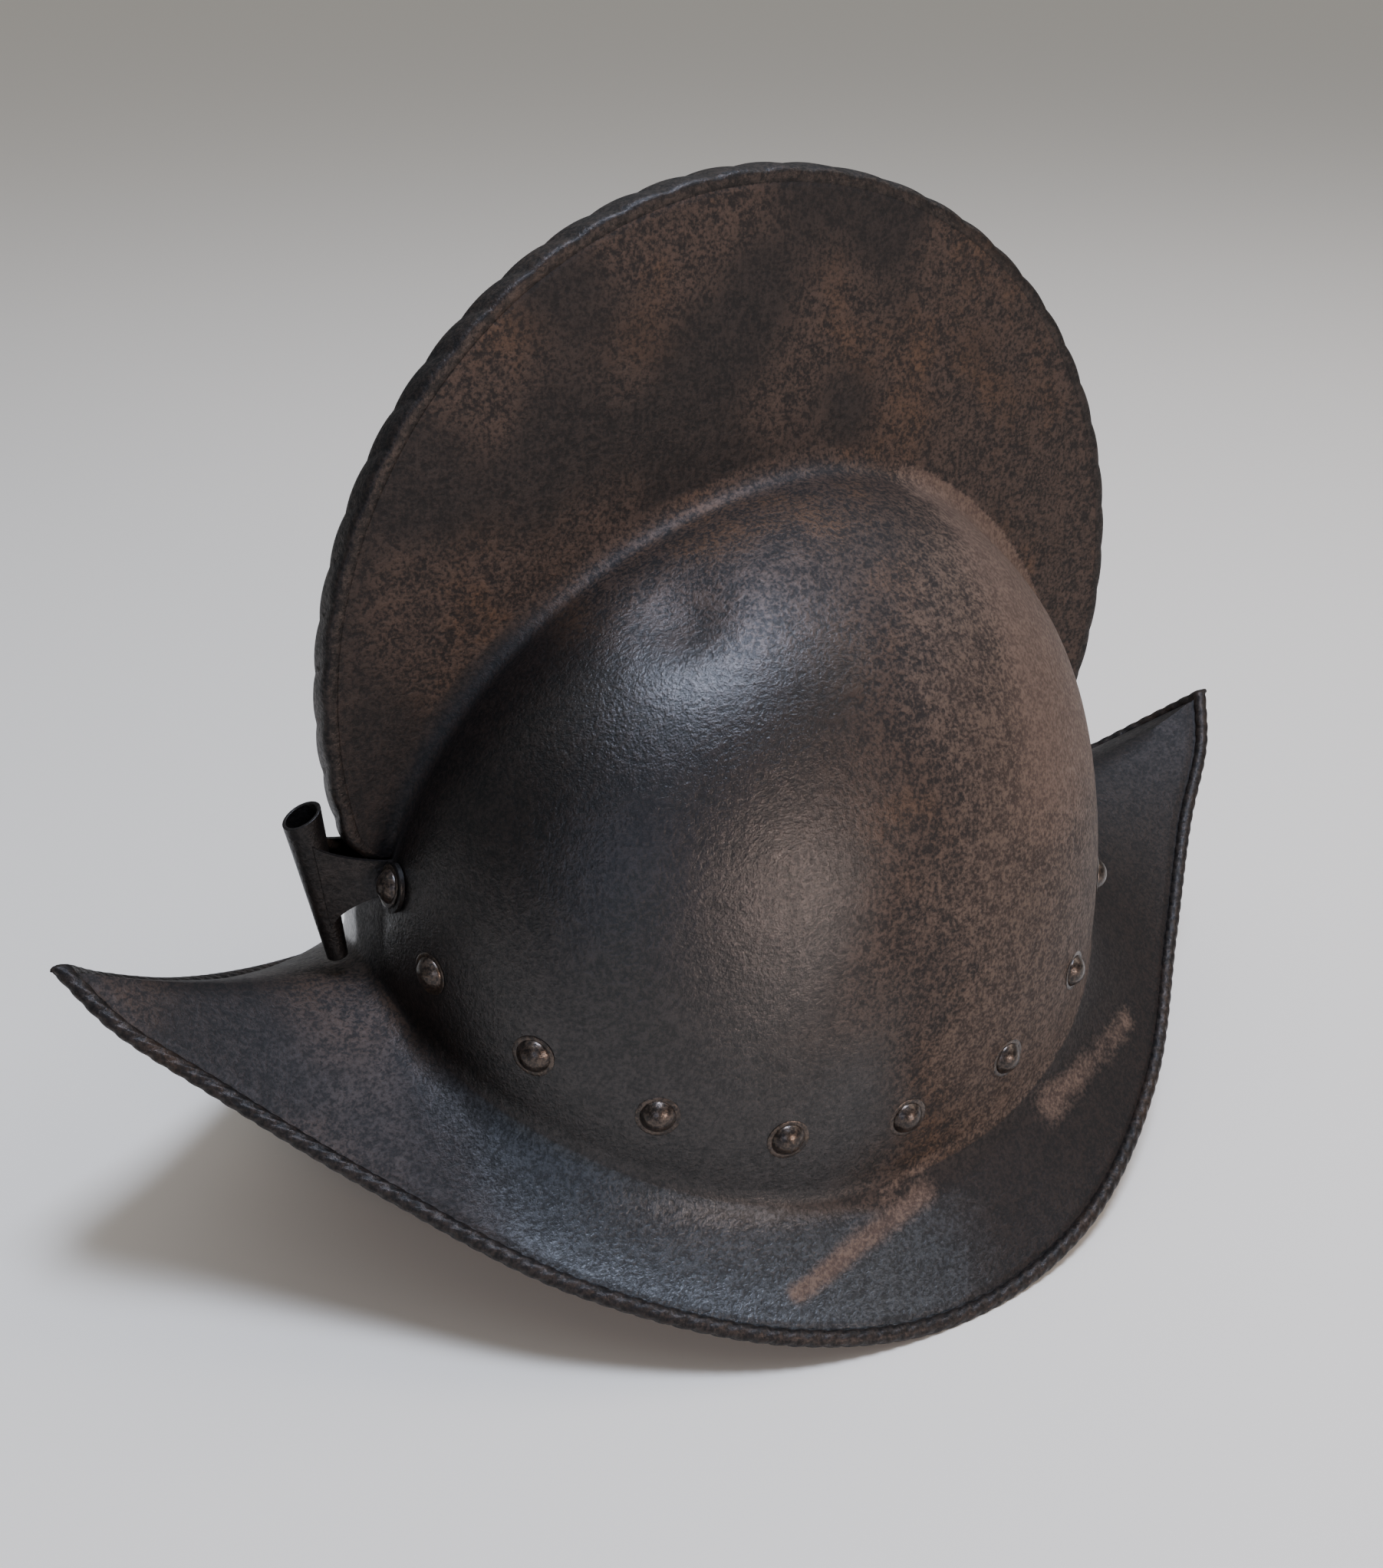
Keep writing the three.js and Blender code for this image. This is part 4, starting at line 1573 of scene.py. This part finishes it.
@dataclass
class PlumeHolder:
    """Tube for a plume with a plate on each side, cut from one sheet and riveted on.

    Attributes:
        skin: Outer face of the helmet, which the tabs lie on.
        material: Material of the sheet.
        foot: Place along and height of the tube's lower end.
        top: Place along and height of its rim.
        foot_radius: Outer radius at the lower end.
        top_radius: Outer radius at the rim.
        wall: Thickness of the tube's wall.
        slope: Slope of the rim to the rear.
        rim_rise: How far the rounding of the rim stands up.
        tube_steps: Parts up the tube.
        facets: Parts round the tube.
        sheet: Thickness of the plates.
        overlap: How deep a plate reaches into the tube's wall, as a share of its thickness.
        clearance: Distance from the helmet to a plate.
        rivet_out: Distance of a rivet from the middle of the helmet.
        rivet_rise: Height of the rivets.
        tab_radius: Radius of a tab.
        tab_shares: Lower and upper side of a tab where it is bent, as shares of its radius.
        plate_rises: Heights of a plate's lower and upper corner at the tube.
        plate_parts: Parts along a plate and up it.
        web_share: Share of a plate's length between the tube and the bend.
    """

    skin: BVHTree
    material: Material
    foot: tuple[float, float] = (-114.6, 79.0)
    top: tuple[float, float] = (-119.8, 120.4)
    foot_radius: float = 2.7
    top_radius: float = 5.0
    wall: float = 0.9
    slope: float = 0.3
    rim_rise: float = 0.14
    tube_steps: int = 12
    facets: int = 48
    sheet: float = 1.2
    overlap: float = 0.6
    clearance: float = 0.3
    rivet_out: float = 13.0
    rivet_rise: float = 102.0
    tab_radius: float = 6.3
    tab_shares: tuple[float, float] = (-0.7, 0.75)
    plate_rises: tuple[float, float] = (89.0, 114.0)
    plate_parts: tuple[int, int] = (44, 18)
    web_share: float = 0.45

    @property
    def bend_out(self) -> float:
        """Distance from the middle of the helmet at which a plate is bent."""
        return self.rivet_out - self.tab_radius + self.sheet

    @property
    def bend_rises(self) -> list[float]:
        """Heights of a plate's lower and upper side at the bend."""
        return [self.rivet_rise + share * self.tab_radius for share in self.tab_shares]

    def tube(self) -> BMesh:
        """Make the tapering tube with its sloping rim.

        Returns:
            Mesh in millimetres.
        """
        foot, top = (Vector((x, 0.0, rise)) for x, rise in (self.foot, self.top))
        tall = (top - foot).length
        walls = []
        for i in range(self.tube_steps + 1):
            share = i / self.tube_steps
            walls.append((lerp(self.foot_radius, self.top_radius, share), share * tall))
        inside = [(radius - self.wall, rise) for radius, rise in reversed(walls)]
        rim = [(self.top_radius - self.wall * share, tall + self.rim_rise) for share in (0.2, 0.8)]
        bm = turned(walls + rim + inside, closed=True, facets=self.facets)
        for vert in bm.verts:
            vert.co.z += self.slope * vert.co.x * ease(0.7, 1.0, vert.co.z / tall)
        stand(bm, foot, top - foot)
        bmesh.ops.recalc_face_normals(bm, faces=bm.faces)
        return bm

    def on_skull(self, out: float, rise: float) -> Vector:
        """Find the inner face of a plate over the rear of the skull.

        Args:
            out: Distance from the middle of the helmet.
            rise: Height.

        Returns:
            The point, on the right side.
        """
        behind = Vector((-200.0, -out, rise))
        hit, normal, _, _ = self.skin.ray_cast(behind, Vector((1, 0, 0)))
        return hit + normal * self.clearance

    def web(self, way: float, height: float) -> Vector:
        """Find a point of the right plate between the tube and the bend.

        Args:
            way: Share of the way to the bend.
            height: Share of the height.

        Returns:
            The point.
        """
        low, high = (
            lerp(bend, tube, (1 - way) ** 2)
            for bend, tube in zip(self.bend_rises, self.plate_rises)
        )
        rise = lerp(low, high, height)
        share = (rise - self.foot[1]) / (self.top[1] - self.foot[1])
        radius = lerp(self.foot_radius, self.top_radius, share)
        x = lerp(self.foot[0], self.top[0], share)
        start = Vector((x, -(radius - self.overlap * self.sheet), rise))
        return start.lerp(self.on_skull(self.bend_out, rise), (ease(0, 1, way) + way) / 2)

    def tab(self, way: float, height: float) -> Vector:
        """Find a point of the right plate between the bend and the round end of its tab.

        Args:
            way: Share of the way to the end.
            height: Share of the height.

        Returns:
            The point.
        """
        low, high = self.bend_rises
        # It stops just short of its round end, where it would have no height
        end = self.rivet_out + self.tab_radius - 0.02
        out = lerp(self.bend_out, end, math.sin(way * math.pi / 2))
        round_half = math.sqrt(max(self.tab_radius**2 - (out - self.rivet_out) ** 2, 0.01))
        blend = ease(0.0, 0.35, way)
        middle = lerp((low + high) / 2, self.rivet_rise, blend)
        half = lerp((high - low) / 2, round_half, blend)
        return self.on_skull(out, middle + (height * 2 - 1) * half)

    def plate(self, right: bool) -> BMesh:
        """Make the plate from the tube's side to the end of a tab.

        Args:
            right: Whether it is the right one.

        Returns:
            Mesh in millimetres.
        """
        columns, rows = self.plate_parts
        bm = bmesh.new()
        for vert, column, row in grid_places(bm, columns, rows):
            share, height = column / columns, row / rows
            if share < self.web_share:
                vert.co = self.web(share / self.web_share, height)
            else:
                vert.co = self.tab((share - self.web_share) / (1 - self.web_share), height)
        bmesh.ops.recalc_face_normals(bm, faces=bm.faces)
        bm.normal_update()
        end = min(bm.faces, key=lambda face: face.calc_center_median().y)
        if end.normal.x > 0:
            bmesh.ops.reverse_faces(bm, faces=bm.faces)
        bm.normal_update()
        made = bmesh.ops.extrude_face_region(bm, geom=bm.faces[:])
        for vert in (g for g in made["geom"] if isinstance(g, BMVert)):
            vert.co += vert.normal * self.sheet
        bmesh.ops.recalc_face_normals(bm, faces=bm.faces)
        if not right:
            bmesh.ops.scale(bm, vec=(1, -1, 1), verts=bm.verts)
            bmesh.ops.reverse_faces(bm, faces=bm.faces)
        return bm

    def mesh(self) -> BMesh:
        """Put the tube and its two plates together.

        Returns:
            Mesh in millimetres.
        """
        bm = self.tube()
        for right in (True, False):
            plate = self.plate(right)
            part = bpy.data.meshes.new("holder_plate")
            plate.to_mesh(part)
            plate.free()
            bm.from_mesh(part)
            bpy.data.meshes.remove(part)
        return bm

    def build(self) -> list[Object]:
        """Build the holder in one piece."""
        piece = Piece("plume_tube", "holder_iron", ("plume_holder",))
        return [piece.finish(self.mesh(), self.material)]


# Studio


@dataclass(frozen=True)
class Panel:
    """Soft light panel that faces the helmet.

    Attributes:
        name: Name of the light.
        place: Where it stands, in metres.
        size: Its width and height in metres.
        power: Its power in watts.
        colour: Its colour.
    """

    name: str
    place: tuple[float, float, float]
    size: tuple[float, float]
    power: float
    colour: str


@dataclass
class Studio:
    """Pale floor, soft light and the camera at the photograph's place.

    Attributes:
        camera_place: Place of the camera in metres.
        azimuth: Angle in degrees that the camera is turned.
        elevation: Angle in degrees that it looks down.
        lens: Its focal length in millimetres.
        sensor: Width of its sensor in millimetres.
        floor_size: Half the floor's width in metres.
        floor_colour: Colour of the floor.
        floor_roughness: Roughness of the floor.
        air_colour: Colour of the light from all sides.
        air_strength: Strength of the light from all sides.
        aim: Point that the panels face, in metres.
        panels: The light panels.
        ceiling_strength: Strength of the wide light from above.
        ceiling_angle: Angle in degrees that it fills.
        ceiling_tilt: Angles in degrees that it is turned about X and Y.
    """

    camera_place: tuple[float, float, float] = (-0.2231, -0.3742, 0.3212)
    azimuth: float = -29.56
    elevation: float = 27.034
    lens: float = 40.33
    sensor: float = 36.0
    floor_size: float = 12.0
    floor_colour: str = "#d6cfc4"
    floor_roughness: float = 0.75
    air_colour: str = "#cfd3d8"
    air_strength: float = 0.22
    aim: tuple[float, float, float] = (0.0, 0.0, 0.11)
    panels: tuple[Panel, ...] = (
        Panel("ceiling_window", (0.05, -0.3, 1.48), (0.3, 0.4), 33.0, "#d6e4ff"),
        Panel("warm_wall", (0.32, -1.5, 0.28), (0.26, 0.2), 13.0, "#ffe6da"),
        Panel("cool_window", (-0.9, -1.15, 0.55), (0.5, 0.5), 3.5, "#cfe0ff"),
        Panel("right_wall", (1.2, -0.4, 1.2), (0.8, 0.8), 8.0, "#fff1e4"),
    )
    ceiling_strength: float = 1.0
    ceiling_angle: float = 100.0
    ceiling_tilt: tuple[float, float] = (-12.0, 8.0)

    def floor(self) -> None:
        """Lay a wide floor of matt paint, which gives soft and pale reflections only."""
        bm = bmesh.new()
        bmesh.ops.create_grid(bm, x_segments=2, y_segments=2, size=self.floor_size)
        mesh = bpy.data.meshes.new("floor")
        bm.to_mesh(mesh)
        bm.free()
        material = bpy.data.materials.new("matt_painted_floor")
        material.use_nodes = True
        shader = material.node_tree.nodes["Principled BSDF"]
        shader.inputs["Base Color"].default_value = linear(self.floor_colour)
        shader.inputs["Roughness"].default_value = self.floor_roughness
        mesh.materials.append(material)
        put("floor", mesh)

    def light(self, panel: Panel) -> None:
        """Set up a light panel.

        Args:
            panel: The panel.
        """
        data = bpy.data.lights.new(panel.name, "AREA")
        data.shape = "RECTANGLE"
        data.size, data.size_y = panel.size
        data.energy = panel.power
        data.color = linear(panel.colour)[:3]
        place = Vector(panel.place)
        self._face(put(panel.name, data), place, place - Vector(self.aim))

    def ceiling(self) -> None:
        """Set up the wide light from above."""
        data = bpy.data.lights.new("ceiling", "SUN")
        data.energy = self.ceiling_strength
        data.angle = math.radians(self.ceiling_angle)
        tilt = [math.radians(angle) for angle in self.ceiling_tilt]
        put("ceiling", data).rotation_euler = (*tilt, 0.0)

    def air(self) -> None:
        """Set up the light from all sides."""
        world = bpy.data.worlds.new("pale_room")
        world.use_nodes = True
        sky = world.node_tree.nodes["Background"]
        sky.inputs["Color"].default_value = linear(self.air_colour)
        sky.inputs["Strength"].default_value = self.air_strength
        bpy.context.scene.world = world

    def camera(self) -> None:
        """Set up the camera at the photograph's place."""
        data = bpy.data.cameras.new("camera")
        data.lens = self.lens
        data.sensor_width = self.sensor
        data.clip_start = 0.01
        data.clip_end = 50.0
        turn, tilt = math.radians(self.azimuth), math.radians(self.elevation)
        back = Vector(
            (math.sin(turn) * math.cos(tilt), -math.cos(turn) * math.cos(tilt), math.sin(tilt))
        )
        camera = put("camera", data)
        self._face(camera, Vector(self.camera_place), back)
        bpy.context.scene.camera = camera

    @staticmethod
    def _face(thing: Object, place: Vector, back: Vector) -> None:
        """Put a light or camera in its place.

        Args:
            thing: Light or camera, which looks along its own -Z.
            place: Its place.
            back: Direction from what it looks at to it.
        """
        thing.location = place
        thing.rotation_mode = "QUATERNION"
        thing.rotation_quaternion = back.to_track_quat("Z", "Y")

    def build(self) -> None:
        """Set up the whole studio."""
        self.floor()
        self.camera()
        self.air()
        for panel in self.panels:
            self.light(panel)
        self.ceiling()


def report(pieces: list[Object]) -> None:
    """Report finished pieces.

    Args:
        pieces: The pieces.
    """
    for piece in pieces:
        log.info("%s: %d faces", piece.name, len(piece.data.polygons))


def main() -> None:
    """Build the helmet and its studio."""
    logging.basicConfig(level=logging.INFO, format="%(name)s: %(message)s")
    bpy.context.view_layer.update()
    form = HelmetForm()
    shell = Shell(form, PLATE_FINISH.build())
    report(shell.build())
    rope = ROPE_FINISH.build()
    report(BrimRope(form, rope).build())
    report(CombRope(form, rope).build())
    nodes = sorted(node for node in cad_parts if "rivet" in node)
    report(Rivets(shell.skin, RIVET_FINISH.build(), nodes).build())
    report(PlumeHolder(shell.skin, HOLDER_FINISH.build()).build())
    Studio().build()


if __name__ == "__main__":
    main()
